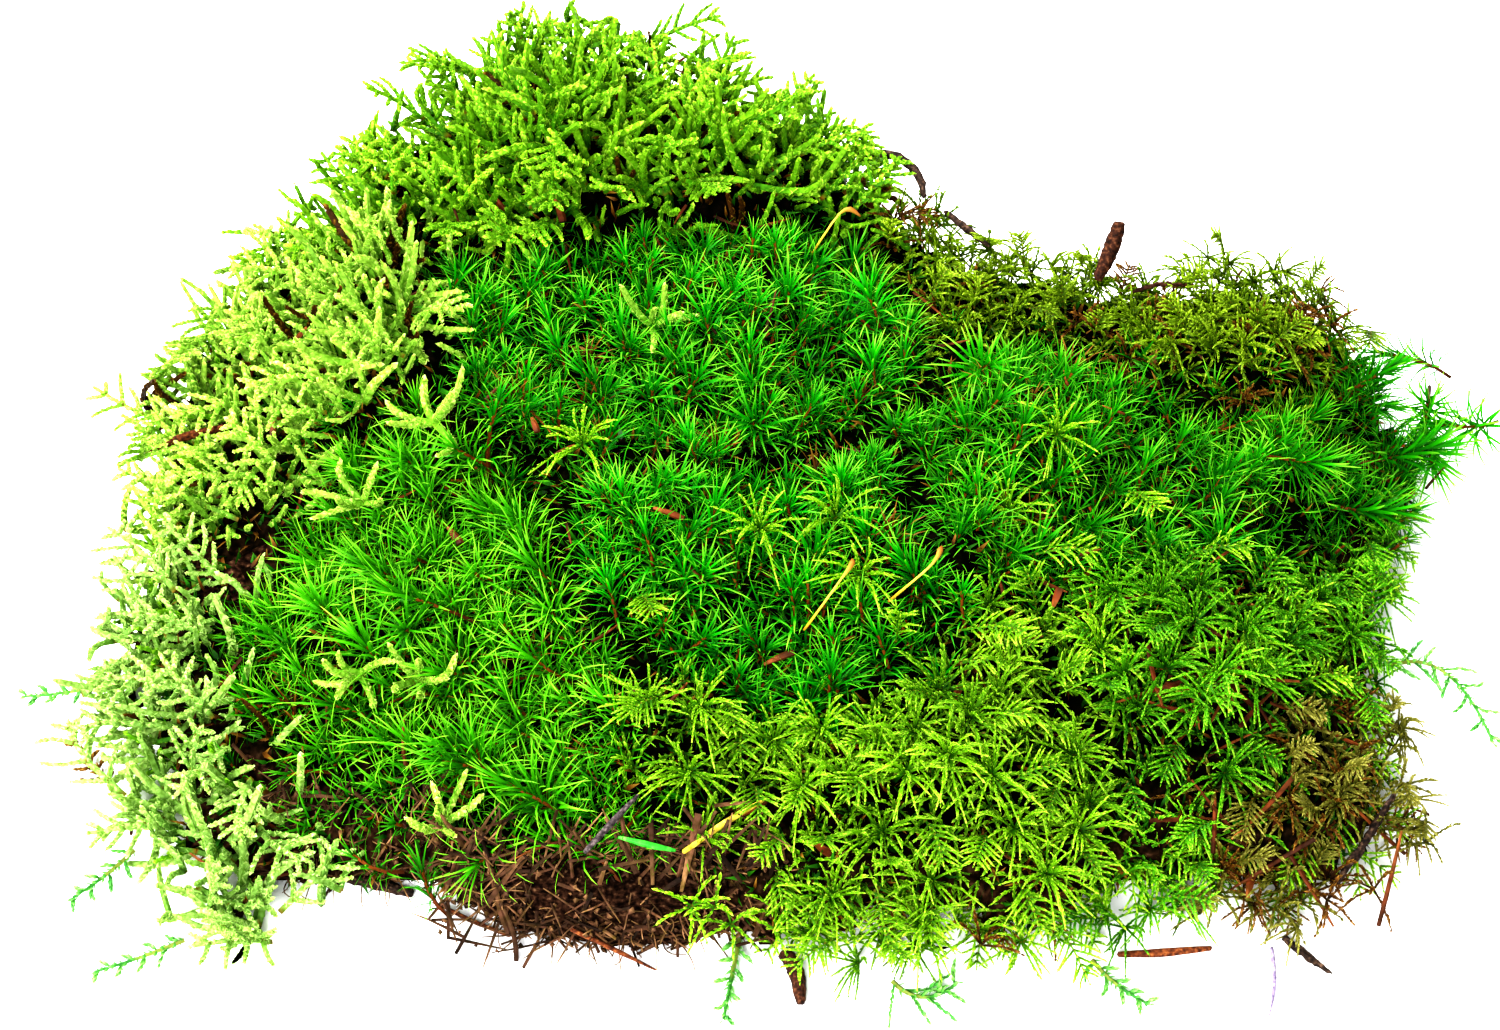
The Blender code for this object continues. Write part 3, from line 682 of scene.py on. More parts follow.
grid_x, grid_y, grid = plan_grid(low - MARGIN, high + MARGIN, CELL)
grid_owner, grid_top = nearest_tops(grid)
covered = grown(grown((grid_owner >= 0).reshape(grid_x.shape), 3), -3)  # its gaps are closed
gap = covered.ravel() & (grid_owner < 0)
print("cells in gaps:", gap.sum(), "of", covered.sum())

# %% The lower storey's places
# For each moss: the spacing of the lower storey's shoots, and how far under the solid's surface
# a shoot's centre lies at a peak, at a rim tooth and in the lower storey.
STANDS = {
    "star_moss": {"spacing": 5.6, "peak": 7.2, "tooth": 8.0, "lower": 3.0},
    "plume_moss": {"spacing": 6.0, "peak": 10.0, "tooth": 11.0, "lower": 4.0},
    "feather_moss": {"spacing": 6.2, "peak": 2.0, "tooth": 7.0, "lower": 3.0},
    "creeping_moss": {"spacing": 5.8, "peak": 4.0, "tooth": 6.0, "lower": 1.5},
}
BLEND = 5.0  # colonies grow into one another along their borders, over about this width
COVERED = (2.8, 2.0)  # shut in by a neighbour's skin that is this near in plan and this much over


def without_crowding(points, least):
    """Which points have no earlier point of the list nearer than least."""
    return ~np.tril(squared_distances(points, points) < least**2, -1).any(axis=1)


rng = np.random.default_rng(43)
found = []
for node, slot in COLONIES.items():
    spacing = STANDS[slot]["spacing"]
    spots, out = on_mesh(rng, *surfaces[node], 0.3 * spacing,
                         lambda middle, normal: normal[:, 2] > -0.6)
    kept = without_crowding(spots, spacing / math.sqrt(math.pi))
    spots, out = spots[kept], out[kept]
    others = skin[skin_owner != NUMBER[node]]
    over = squared_distances(spots[:, :2], others[:, :2]) < COVERED[0] ** 2
    shut_in = (over & (others[None, :, 2] > spots[:, None, 2] + COVERED[1])).any(axis=1)
    shut_in |= ~outside_holes(spots) | ~off_bare(rng, spots, 0.3)
    found.append((spots[~shut_in], out[~shut_in]))
filling = np.column_stack([grid, grid_top + 1.0])[gap] + rng.normal(0, 0.8, (gap.sum(), 3))
filling = filling[without_crowding(filling, 4.0)]
found.append((filling, leaned(np.tile([0.0, 0.0, 1.0], (len(filling), 1)), rng, 0.4)))
storey, storey_out = (np.vstack(parts) for parts in zip(*found))
grows = nearest_colony(storey + rng.normal(0, BLEND, storey.shape))
print("places in the lower storey:", len(storey))


def between(node):
    """A colony's places in the lower storey, and their ways out."""
    mine = grows == NUMBER[node]
    drop = STANDS[COLONIES[node]]["lower"]
    return storey[mine] - storey_out[mine] * drop, storey_out[mine]


def scattered(rng, node, spacing):
    """Places on a colony's top: a grid of that spacing in plan, each place moved at random."""
    points = colonies[node]["mesh"][0]
    *_, spots = plan_grid(points.min(axis=0), points.max(axis=0), spacing)
    spots += rng.uniform(-0.45, 0.45, spots.shape) * spacing
    colony, height = nearest_tops(spots)
    return np.column_stack([spots, height])[colony == NUMBER[node]]


def around_rim(rng, node, rise, amount):
    """The places behind the rim's teeth, and the ways in which their shoots stick out."""
    colony = colonies[node]
    kept = off_bare(rng, colony["teeth"], 0.15)
    out = np.column_stack([colony["out"][kept], np.full(kept.sum(), rise)])
    growth = leaned(unit(out), rng, amount)
    return colony["teeth"][kept] - growth * STANDS[COLONIES[node]]["tooth"], growth


def standing(rng, places, amount):
    """Ways square to the canopy at these places, each with a random lean."""
    return leaned(slope_out(places[:, :2]), rng, amount)


# %% [markdown]
# ## Star moss
# An upright rust-brown stem with narrow leaves all round it, close and upright at the top and bent
# back lower down, so that it looks like a star from above. The leaves follow the golden angle, as
# on the real plant. The upper storey stands on the solids' peaks. A lower storey of smaller stars,
# painted darker as shade, closes the gaps between them, and the rim's stars stand out from the
# teeth. Some peaks carry a second star, its twin, since the real shoots are closer than the
# solids' peaks.

# %% Star moss
STAR_LOOKS = {
    "star_moss_left": {"deep": ("#1c6c02", "#48a208"), "sweep": (-0.75, 0.05), "size": 1.0},
    "star_moss_back": {"deep": ("#085c04", "#1c9c06"), "sweep": (0.1, 0.35), "size": 0.8},
    "star_moss_middle": {"deep": ("#086204", "#1aa206"), "sweep": (0.0, 0.35), "size": 0.8},
    "star_moss_right": {"deep": ("#0c5e02", "#289a04"), "sweep": (0.15, 0.3), "size": 0.86},
    "star_moss_rim": {"deep": ("#0c5a02", "#2c9a06"), "sweep": (0.8, 0.1), "size": 0.9,
                      "twins": 1.0},
}
COARSE = {"stations": (0.0, 0.35, 0.7), "profile": (0.8, 1.0, 0.6)}
TWINS = 0.3  # share of the peaks that carry a second star


def grown_from(apex, growth, length, rng, bend):
    """Curves that end at apex, come from length below along growth, and bend a little.

    A curve that would come from under the ground starts just over it.
    """
    above = np.maximum(apex[:, 2:] - 1.0, 2.0) / np.maximum(growth[:, 2:], 0.1)
    foot = apex - growth * np.minimum(length, above)
    middle = (apex + foot) / 2 + rng.normal(0, bend, apex.shape) * SIDEWAYS
    return np.stack([foot, middle, apex], axis=1)


def star_shoots(rng, apex, growth, tint, size=1.0, count=50, height=17.0, **blade):
    """Stars of leaves: the highest stand in a point round the bud, the lowest arch over and down."""
    curves = grown_from(apex, growth, height, rng, 2.0)
    each = size * rng.uniform(0.75, 1.3, len(apex))
    leaves = leafy(
        rng, curves, count, (0.25, 1.0), length=[8.0, 11.0, 12.5, 12.0, 9.0],
        width=[0.6, 0.7, 0.68, 0.62, 0.5], angle=[66, 56, 44, 26, 6],
        curl=[1.3, 1.2, 1.0, 0.8, 0.5], tint=tint, size=each,
        spread=rng.uniform(0.75, 1.2, len(apex)), **blade,
    )
    return joined([stalks(curves, (0.5, 0.35), tint, rings=4), leaves])


def upward(plan, sweep, share=0.45):
    """Shoots' directions: between straight up and square to the canopy, plus a sweep."""
    return unit(slope_out(plan) * share + [*sweep, 1.0 - share])


def add_colony(node, shapes, ending, stem, deep, bright, scales=0.0):
    """A colony's shoots, in leaves with its own colours, in place of its solid."""
    paints[node] = leaf_material(f"leaf_of_{node}", stem, deep, bright, scales=scales)
    add_piece(node.replace("moss", ending), joined(shapes), paints[node], [node])


STAR_TIP = "#aee848"
paints = {}
for seed, (node, look) in enumerate(STAR_LOOKS.items(), start=1):
    rng = np.random.default_rng(seed)
    peaks = colonies[node]["peaks"]
    twins = peaks[rng.uniform(0, 1, len(peaks)) < look.get("twins", TWINS)]
    twins = twins + rng.normal(0, 3.5, twins.shape) * [1, 1, 0] - [0, 0, 2]
    peaks = np.vstack([peaks, twins])
    peaks = peaks[outside_holes(peaks)]
    peaks = peaks + rng.normal(0, 1.3, peaks.shape) * [1, 1, 0.4]
    growth = leaned(upward(peaks[:, :2], look["sweep"]), rng, 0.28)
    size = look["size"]
    tint = patchy(rng, peaks, 0.35, 0.95)
    buds = peaks - growth * STANDS["star_moss"]["peak"] * size
    shapes = [star_shoots(rng, buds, growth, tint, size)]
    spots, out = between(node)
    growth = leaned(unit(out * 0.5 + [*look["sweep"], 0.5]), rng, 0.4)
    # Painted shade: the lower storey takes only the darkest tints of the chart.
    tint = patchy(rng, spots, LIVING, 0.3, 0.03)
    shapes.append(star_shoots(rng, spots, growth, tint, 0.66, 30, height=11.0, **COARSE))
    spots, growth = around_rim(rng, node, 0.35, 0.25)
    shapes.append(star_shoots(rng, spots, growth, tints(rng, len(spots), 0.2, 0.9), 0.85))
    add_colony(node, shapes, "shoots", ("#3a1d0a", "#8a4a18"), ("#042600", *look["deep"]),
               (*look["deep"], STAR_TIP))

# %% [markdown]
# ## Plume moss
# Plump, blunt shoots like fingers, two to six from one point, closely covered with hollow
# scale-like leaves. A finger is a thick stalk with short wide scales that lie nearly along it.

# %% Plume moss
PLUME_LOOKS = {
    "plume_moss_back": ("#549c14", "#aeda34", "#e0f87a"),
    "plume_moss_left": ("#8cc63c", "#dcf27a", "#f6ffb6"),
    # The corner's pale colours are partly the moss's own and partly painted light where that corner
    # is washed out.
    "plume_moss_corner": ("#96c45e", "#cce48c", "#e6f6b8"),
}
SCATTER = 12.0  # between the sprays that lie over a cushion
RISING = np.array([0.0, 0.0, 0.3])  # shoots turn this much more upwards than the skin does


def arched(rng, foot, growth, length, rise, wander=0.1):
    """Curves from foot along growth whose tip is raised by rise, or sunk where it is negative."""
    astray = rng.normal(0, 1, foot.shape) * (wander * length)[:, None]
    middle = foot + growth * (0.55 * length)[:, None] + astray
    tip = foot + growth * length[:, None]
    tip[:, 2] += rise
    return np.stack([foot, middle, tip], axis=1)


BRANCH_ANGLE = math.radians(50)


def side_branches(rng, curves, length, pairs):
    """Feet, ways and lengths of branches in pairs up each curve, the longest below its middle."""
    share = np.repeat(np.linspace(0.15, 0.85, pairs), 2)
    at, way = along_curve(curves, np.broadcast_to(share, (len(curves), 2 * pairs)))
    side, _ = across(way)
    sign = np.tile([1.0, -1.0], pairs)[:, None]
    out = unit(way * math.cos(BRANCH_ANGLE) + side * sign * math.sin(BRANCH_ANGLE))
    out = leaned(out, rng, 0.12)
    reach = length[:, None] * 0.42 * np.sin(math.pi * (0.25 + 0.7 * share))
    return at.reshape(-1, 3), out.reshape(-1, 3), varied(rng, reach, 0.2).reshape(-1)


def around(rng, growth, number, lean):
    """Directions that lean from growth by lean (degrees, least and most), spread all round it."""
    side, over = across(growth)
    turn = rng.uniform(0, FULL_TURN, (len(growth), 1)) + np.arange(number) * FULL_TURN / number
    turn = turn + rng.uniform(-0.3, 0.3, turn.shape)
    tilt_out = np.radians(rng.uniform(*lean, turn.shape))[..., None]
    out = turned(side[:, None], over[:, None], turn)
    return (np.cos(tilt_out) * growth[:, None] + np.sin(tilt_out) * out).reshape(-1, 3)


def shared_tint(rng, tint, number, amount=0.14):
    """Each shoot's tint for its branches, with small differences. Dead shoots stay dead."""
    shade = np.repeat(tint, number)
    mixed = np.clip(shade + rng.uniform(-amount, amount, len(shade)), LIVING, 0.97)
    return np.where(shade < DEAD_TINTS, shade, mixed)


def fingers(rng, curves, thickness, tint, count=50):
    """Plump blunt fingers along the curves: a body under overlapping scales."""
    body = stalks(curves, (0.36 * thickness, 0.26 * thickness), tint, rings=4, sides=4,
                  paint=(STEM_SHARE, STEM_SHARE + 0.25))
    scales = leafy(
        rng, curves, count, (0.03, 1.0), length=[0.7, 0.78, 0.78, 0.72, 0.6],
        width=[0.9, 1.0, 1.0, 0.95, 0.8], angle=[46, 42, 40, 34, 16],
        curl=[-0.6, -0.6, -0.6, -0.5, -0.3], tint=tint, size=thickness,
        stations=(0.0, 0.45), profile=(0.0, 1.0),
    )
    return joined([body, scales])


def plume_clusters(rng, centre, growth, tint, number, length=(12.0, 19.0), thickness=(2.5, 3.4),
                   lean=(15, 80), count=50):
    """Fingers spread round growth like a hand."""
    ways = around(rng, growth, number, lean)
    reach = rng.uniform(*length, len(ways))
    curves = arched(rng, np.repeat(centre, number, axis=0), ways, reach, 0.15 * reach, 0.17)
    thick = rng.uniform(*thickness, len(ways))
    return fingers(rng, curves, thick, shared_tint(rng, tint, number), count)


def plume_sprays(rng, foot, growth, tint, thickness=1.9, pairs=4):
    """Long fingers with pairs of shorter ones along them."""
    reach = rng.uniform(15.0, 22.0, len(foot))
    curves = arched(rng, foot, growth, reach, -0.1 * reach)
    at, out, size = side_branches(rng, curves, reach, pairs)
    sides = arched(rng, at, out, size, -0.1 * size)
    main = fingers(rng, curves, np.full(len(foot), thickness), tint, 60)
    side_tint = shared_tint(rng, tint, 2 * pairs)
    return joined([main, fingers(rng, sides, np.full(len(at), 0.85 * thickness), side_tint, 26)])


def sideways(rng, plan, amount=0.6):
    """Ways that run along the clump's surface, mostly downhill."""
    return leaned(unit(slope_out(plan) * [2.5, 2.5, 0.6]), rng, amount)


for seed, (node, deep) in enumerate(PLUME_LOOKS.items(), start=11):
    rng = np.random.default_rng(seed)
    peaks = colonies[node]["peaks"]
    growth = leaned(unit(slope_out(peaks[:, :2]) * [1.3, 1.3, 1.0]), rng, 0.3)
    tint = patchy(rng, peaks, 0.4, 0.95, 0.04)
    palms = peaks - growth * STANDS["plume_moss"]["peak"]
    shapes = [plume_clusters(rng, palms, growth, tint, 3)]
    spots = scattered(rng, node, SCATTER)
    ways = sideways(rng, spots[:, :2])
    shapes.append(plume_sprays(rng, spots, ways, tints(rng, len(spots), 0.4, 0.95, 0.03)))
    spots, out = between(node)
    growth = leaned(unit(out + RISING), rng, 0.45)
    # Painted shade: the lower storey takes darker tints than the shoots over it.
    tint = patchy(rng, spots, 0.3, 0.75, 0.04)
    shapes.append(plume_clusters(rng, spots, growth, tint, 2, (7.0, 12.0), (1.8, 2.4), (10, 75), 25))
    spots, growth = around_rim(rng, node, 0.25, 0.3)
    tint = tints(rng, len(spots), 0.4, 0.95, 0.04)
    shapes.append(plume_clusters(rng, spots, growth, tint, 4, (9.0, 15.0), (1.7, 2.6), (5, 50)))
    # The plume moss's leaves get painted shade at the edges of 1 mm cells.
    add_colony(node, shapes, "shoots", ("#3a2408", "#7c5a18"), ("#2a5c0a", *deep[:2]), deep, 1.0)

# %% [markdown]
# ## Feather moss
# A small umbrella of thin branches on a wiry stem. Each branch is covered with tiny leaves that
# lie forward along it, so it looks like a thread, and it arches out and down. Feathers with two
# rows of side branches lie over the cushion and hang from its rim. Towards the front the tints
# are lighter: painted light on the clump's front.

# %% Feather moss
FEATHER_LOOKS = {
    "feather_moss_front": ("#2a6404", "#84b814", "#def068"),
    "feather_moss_right": ("#185604", "#5ca40e", "#c6e650"),
}
LOWER_TUFT = {"count": 11, "leaf": 1.6}  # fewer and larger leaves where little shows
CLEARINGS = 22.0  # spacing of the places where no umbrella stands, so that its neighbours show


def threads(rng, curves, tint, count=17, leaf=1.05):
    """Branches along the curves with leaves that lie close to them."""
    fringe = leafy(
        rng, curves, count, (0.1, 1.0), length=np.array([0.9, 1.0, 1.0, 0.9, 0.8]) * leaf,
        width=np.array([0.45, 0.5, 0.5, 0.45, 0.4]) * leaf, angle=[21, 18, 16, 13, 6],
        curl=[0.2, 0.1, 0.1, 0.0, 0.0], tint=tint, **POINTED,
    )
    rib = stalks(curves, (0.28, 0.16), tint, rings=3, sides=3, paint=(STEM_SHARE * 0.9, 0.85))
    return joined([rib, fringe])


def tufts(rng, centre, growth, tint, number, length, lean=(45, 96), **thread):
    """Branches in a ring round growth, like an umbrella's ribs."""
    ways = around(rng, growth, number, lean)
    reach = rng.uniform(*length, len(ways))
    curves = arched(rng, np.repeat(centre, number, axis=0), ways, reach, -0.28 * reach, 0.06)
    curves[:, 1, 2] += 0.12 * reach
    return threads(rng, curves, shared_tint(rng, tint, number), **thread)


def plumose(rng, foot, growth, length, tint, pairs=7):
    """Feathers: a main thread with pairs of side threads, longest below the middle."""
    curves = arched(rng, foot, growth, length, -0.2 * length, 0.05)
    curves[:, 1, 2] += 0.15 * length
    at, out, size = side_branches(rng, curves, length, pairs)
    sides = arched(rng, at, out, size, -0.15 * size, 0.05)
    main = threads(rng, curves, tint, 18)
    return joined([main, threads(rng, sides, shared_tint(rng, tint, 2 * pairs), 10)])


def hanging(rng, spots, out, tint, low_end, share):
    """Feathers that hang out from the low places along the rim."""
    kept = (spots[:, 2] < low_end) & (out[:, 2] < 0.4) & (rng.uniform(0, 1, len(spots)) < share)
    ways = leaned(unit(out[kept] * SIDEWAYS + [0, 0, -0.15]), rng, 0.35)
    return plumose(rng, spots[kept] - ways * 2.0, ways, rng.uniform(8, 13, kept.sum()), tint[kept], 5)


FRONT = (-75.0, 25.0)  # the y where the front's painted light starts, and the depth over which it grows bright


def painted_light_in_front(tint, places):
    """Painted light: the tints, raised by up to a half towards the clump's front. Dead shoots stay
    dead.
    """
    near = np.clip((FRONT[0] - places[:, 1]) / FRONT[1], 0.0, 1.0)
    return np.where(tint < DEAD_TINTS, DEAD_TINT, np.clip(tint + 0.5 * near, LIVING, BRIGHTEST))


for seed, (node, deep) in enumerate(FEATHER_LOOKS.items(), start=21):
    rng = np.random.default_rng(seed)
    peaks = colonies[node]["peaks"]
    peaks = peaks[lumps(peaks, CLEARINGS) > -0.5]
    growth = standing(rng, peaks, 0.25)
    tint = painted_light_in_front(patchy(rng, peaks, 0.22, 0.9), peaks)
    crowns = peaks - growth * STANDS["feather_moss"]["peak"]
    shapes = [tufts(rng, crowns, growth, tint, 24, (8.0, 13.0), (15, 92))]
    spots, out = between(node)
    growth = leaned(unit(out + RISING), rng, 0.5)
    # Painted shade: the lower storey takes darker tints than the shoots over it.
    tint = painted_light_in_front(patchy(rng, spots, 0.15, 0.6, 0.05), spots)
    shapes.append(tufts(rng, spots, growth, tint, 6, (6.0, 10.0), (20, 95), **LOWER_TUFT))
    shapes.append(hanging(rng, spots, out, tints(rng, len(spots), 0.4, 0.95, 0.05), 9.0, 0.7))
    spots = scattered(rng, node, SCATTER)
    spots = spots[off_bare(rng, spots, 0.0)]
    ways, length = sideways(rng, spots[:, :2]), rng.uniform(9, 15, len(spots))
    shapes.append(plumose(rng, spots, ways, length, tints(rng, len(spots), 0.4, 0.9)))
    spots, growth = around_rim(rng, node, 0.5, 0.25)
    shapes.append(tufts(rng, spots, growth, tints(rng, len(spots), 0.3, 0.9), 12, (6, 9.5)))
    add_colony(node, shapes, "fronds", ("#2a2008", "#5c5a16"), ("#0a2800", *deep[:2]), deep)

# %% [markdown]
# ## Creeping moss
# A darker moss with small leaves on branches that run every way over one another. In the corner
# at the right many of its sprays are dead and olive brown.

# %% Creeping moss
CREEPING_LOOKS = {
    "creeping_moss_back": {"deep": ("#365402", "#78960c"), "tip": "#d2e65c", "dead": 0.16},
    "creeping_moss_corner": {"deep": ("#46460c", "#7c7a30"), "tip": "#b8b468", "dead": 0.32},
}
for seed, (node, look) in enumerate(CREEPING_LOOKS.items(), start=31):
    rng = np.random.default_rng(seed)
    peaks, dead = colonies[node]["peaks"], look["dead"]
    growth = standing(rng, peaks, 0.5)
    tint = patchy(rng, peaks, 0.4, 0.95, dead)
    crowns = peaks - growth * STANDS["creeping_moss"]["peak"]
    shapes = [tufts(rng, crowns, growth, tint, 13, (5.0, 10.0), (15, 95))]
    spots, out = between(node)
    growth = leaned(unit(out + RISING), rng, 0.6)
    # Painted shade: the lower storey takes darker tints than the shoots over it.
    tint = patchy(rng, spots, LIVING, 0.6, dead)
    shapes.append(tufts(rng, spots, growth, tint, 6, (6.0, 9.0), (30, 95), **LOWER_TUFT))
    shapes.append(hanging(rng, spots, out, tints(rng, len(spots), 0.2, 0.8, dead), 14.0, 0.5))
    spots = scattered(rng, node, SCATTER)
    ways, length = sideways(rng, spots[:, :2], 0.8), rng.uniform(7, 12, len(spots))
    shapes.append(plumose(rng, spots, ways, length, tints(rng, len(spots), 0.4, 0.95, dead)))
    spots, growth = around_rim(rng, node, 0.5, 0.35)
    tint = tints(rng, len(spots), 0.3, 0.9, dead)
    shapes.append(tufts(rng, spots, growth, tint, 10, (5, 9), (20, 95)))
    add_colony(node, shapes, "shoots", ("#241a08", "#5a4a16"), ("#142a00", *look["deep"]),
               (*look["deep"], look["tip"]))

# %% [markdown]
# ## Guests
# No colony is pure: a few sprigs of one moss stand in the next one's ground. These show in the
# picture, so each has its own place.

# %% Guests
PLUME_GUESTS = ((-84, -9), (-80, -56), (-68, -57), (-22, 33), (-62, -88), (-69, 6))
TUFT_GUESTS = ((18, -23), (-10, -68), (2, -28), (32, -78), (36, -99), (55, -17), (-12, -80),
               (23, -37), (72, -52), (16, -102), (53, -65), (100, -53), (66, -1), (-36, -3),
               (114, -35))
FROND_GUESTS = ((81, -13), (94, -25), (49, -47), (114, -54), (-23, -41), (30, -50), (60, -30))
DEAD_GUESTS = ((109, 15), (-20, -43), (55, -96), (112, 33))


def guest_places(plan, rise):
    """The places in plan at the height of the clump's top there, plus rise."""
    plan = np.array(plan, float)
    return np.column_stack([plan, nearest_tops(plan)[1] + rise])


rng = np.random.default_rng(61)
places = guest_places(PLUME_GUESTS, -1.0)
growth = standing(rng, places, 0.3)
tint = tints(rng, len(places), 0.6, 0.95)
shape = plume_clusters(rng, places, growth, tint, 6, (8.0, 12.5), (2.0, 2.8), (10, 75))
add_piece("plume_guests", shape, paints["plume_moss_left"])
places = guest_places(TUFT_GUESTS, 0.5)
growth = standing(rng, places, 0.3)
tint = tints(rng, len(places), 0.7, BRIGHTEST)
tuft = tufts(rng, places, growth, tint, 18, (8.0, 13.0), (15, 92))
places = guest_places(FROND_GUESTS, 1.0)
ways, length = sideways(rng, places[:, :2]), rng.uniform(12, 16, len(places))
frond = plumose(rng, places, ways, length, tints(rng, len(places), 0.75, BRIGHTEST))
places = guest_places(DEAD_GUESTS, -3.0)
growth = standing(rng, places, 0.5)
tint = tints(rng, len(places), 0.5, 0.6, 0.8)
dead_tuft = tufts(rng, places, growth, tint, 14, (4.0, 7.0), (5, 70))
shape = joined([tuft, frond, dead_tuft])
add_piece("feather_guests", shape, paints["feather_moss_front"])
# Big stars that lie on the right rim: place in plan, rise over the moss, and way.
STAR_GUESTS = (((121, -5), 4, (0.7, -0.5, 0.35)), ((150, 7), 3, (0.9, 0.0, 0.3)),
               ((139, -10), 3, (0.8, -0.4, 0.2)), ((145, 29), 2, (0.8, 0.35, 0.3)))
places = np.vstack([guest_places([plan], rise) for plan, rise, _ in STAR_GUESTS])
growth = unit(np.array([way for *_, way in STAR_GUESTS]))
stars = star_shoots(rng, places, growth, np.array([0.9, 0.5, 0.6, 0.7]), 1.15, 70)
add_piece("star_guests", stars, paints["star_moss_rim"])

# %% [markdown]
# ## The bed under the shoots
# Between living shoots there is old moss and dark humus, painted near black on its upper part as
# shade among the shoots. It is one lumpy sheet over a flat foot, some way under the colonies' tops,
# and it comes down to the slab before the rim. Near the foot, below the painted shade, it is
# brown. Old leaves stand on it everywhere.

# %% Moss bed
BED_DEPTH = 6.0  # how far the bed lies under the colonies' tops
HOLE_DEPTH = 9.0  # and how much deeper still in the middle of a hole
SLAB_TOP = 12.8  # only the rim lies lower
BED_FOOT = 0.8
cover = covered.astype(float)
for axis in (0, 1):
    cover = sum(np.roll(cover, shift, axis) for shift in (-2, -1, 0, 1, 2)) / 5
share = np.clip((cover.ravel() - 0.52) / 0.36, 0, 1)  # falls from 1 to 0 towards the rim
hole_share = ((grid[:, None] - HOLES[None, :, :2]) / HOLES[None, :, 2:]) ** 2
dip = HOLE_DEPTH * np.exp(-hole_share.sum(axis=2)).sum(axis=1)
over_slab = grown(covered, -4).ravel()
least = np.where(over_slab, np.minimum(grid_top - 2.0, SLAB_TOP), 0.0)
level = np.maximum(grid_top - BED_DEPTH - dip, least)
flat = np.column_stack([grid, np.zeros(len(grid))])
level = (level + 1.2 * lumps(flat, 9.0) + 0.6 * lumps(flat, 5.0)) * share**0.5
print("bed up to", round(level.max(), 1), "mm")

# %% The bed's closed sheet
inside = (level > 2.0).reshape(grid_x.shape)
cells = inside[:-1, :-1] & inside[1:, :-1] & inside[:-1, 1:] & inside[1:, 1:]
filled = np.zeros(grid_x.shape, int)
for dy, dx in ((0, 0), (1, 0), (0, 1), (1, 1)):
    filled[dy : dy + cells.shape[0], dx : dx + cells.shape[1]] += cells
edge = (filled < 4).ravel()
number = np.arange(len(grid)).reshape(grid_x.shape)
corners = (number[:-1, :-1], number[:-1, 1:], number[1:, 1:], number[1:, :-1])
a, b, c, d = (corner[cells] for corner in corners)
top_faces = np.vstack([np.column_stack([a, b, c]), np.column_stack([a, c, d])])
below = np.arange(len(grid)) + np.where(edge, 0, len(grid))
bed_faces = np.vstack([top_faces, below[top_faces[:, ::-1]]])
bed_points = np.vstack([np.column_stack([grid, np.where(edge, BED_FOOT, level)]),
                        np.column_stack([grid, np.full(len(grid), BED_FOOT)])])
used, bed_faces = np.unique(bed_faces, return_inverse=True)
bed_points, bed_faces = bed_points[used], bed_faces.reshape(-1, 3)
on_edge = np.tile(edge, 2)[used]
bed_points[on_edge] = smoothed(bed_points, bed_faces, 4)[on_edge]
humus = litter_material(  # black on top as painted shade among the shoots, brown near the clump's foot
    "old_moss_and_humus_with_painted_shade",
    [(0.38, "#010200"), (0.5, "#040501"), (0.6, "#0a0804"), (0.74, "#160f08")], 2.5, 1.0, 0.0,
    (14.0, [(0.36, "#0c0704"), (0.48, "#1c110a"), (0.6, "#332115"), (0.74, "#5a4330")]),
)
add_piece("moss_bed", (bed_points, bed_faces, None), humus, smooth=True)

# %% Old leaves on the bed
UNDER_SPACING = 2.5
rng = np.random.default_rng(44)
foot, normal = on_mesh(
    rng, bed_points, bed_faces, UNDER_SPACING,
    lambda middle, normal: (normal[:, 2] > -0.2) & (middle[:, 2] > BED_FOOT + 0.5),
)
stem = leaned(normal, rng, 0.7)
side, over = across(stem)
out = turned(side, over, rng.uniform(0, FULL_TURN, len(foot)))
length, width, angle, curl = (
    rng.uniform(*ends, len(foot)) for ends in ((3.0, 6.0), (0.7, 1.2), (0.1, 0.6), (0.2, 1.0))
)
under_leaves = blades(
    foot - normal * 0.5, stem, out, length, width, angle, curl,
    patchy(rng, foot, LIVING, 0.9, 0.25), **POINTED,
)
under_paint = leaf_material(
    "shaded_old_leaf", ("#0c0804", "#1a1206"), ("#031200", "#0b2c02", "#1a4a04"),
    ("#0b3002", "#246008", "#488a18"), through=0.2,
)
add_piece("under_leaves", under_leaves, under_paint)

# %% [markdown]
# ## The hem
# The side of the clump's foot isn't a bare wall: short feathers, and short fingers under the plume
# moss, grow out of the bed's side. The bare strips of the front rim stay free of them.

# %% Hem
STEEP = 0.8  # a side's normal has a z smaller than this


def hem_places(rng, nodes, spacing, highest, rise):
    """Places on the low side of the bed beside the colonies of nodes, and shoots' ways out."""
    foot, out = on_mesh(
        rng, bed_points, bed_faces, spacing,
        lambda middle, normal: (np.abs(normal[:, 2]) < STEEP) & (middle[:, 2] < highest),
    )
    wanted = np.isin(nearest_colony(foot), [NUMBER[node] for node in nodes])
    wanted &= off_bare(rng, foot, 0.0)
    level_out = out[wanted] * [1.0, 1.0, 0.0]
    growth = leaned(unit(level_out + [0, 0, rise]), rng, 0.4)
    return foot[wanted] - growth, growth


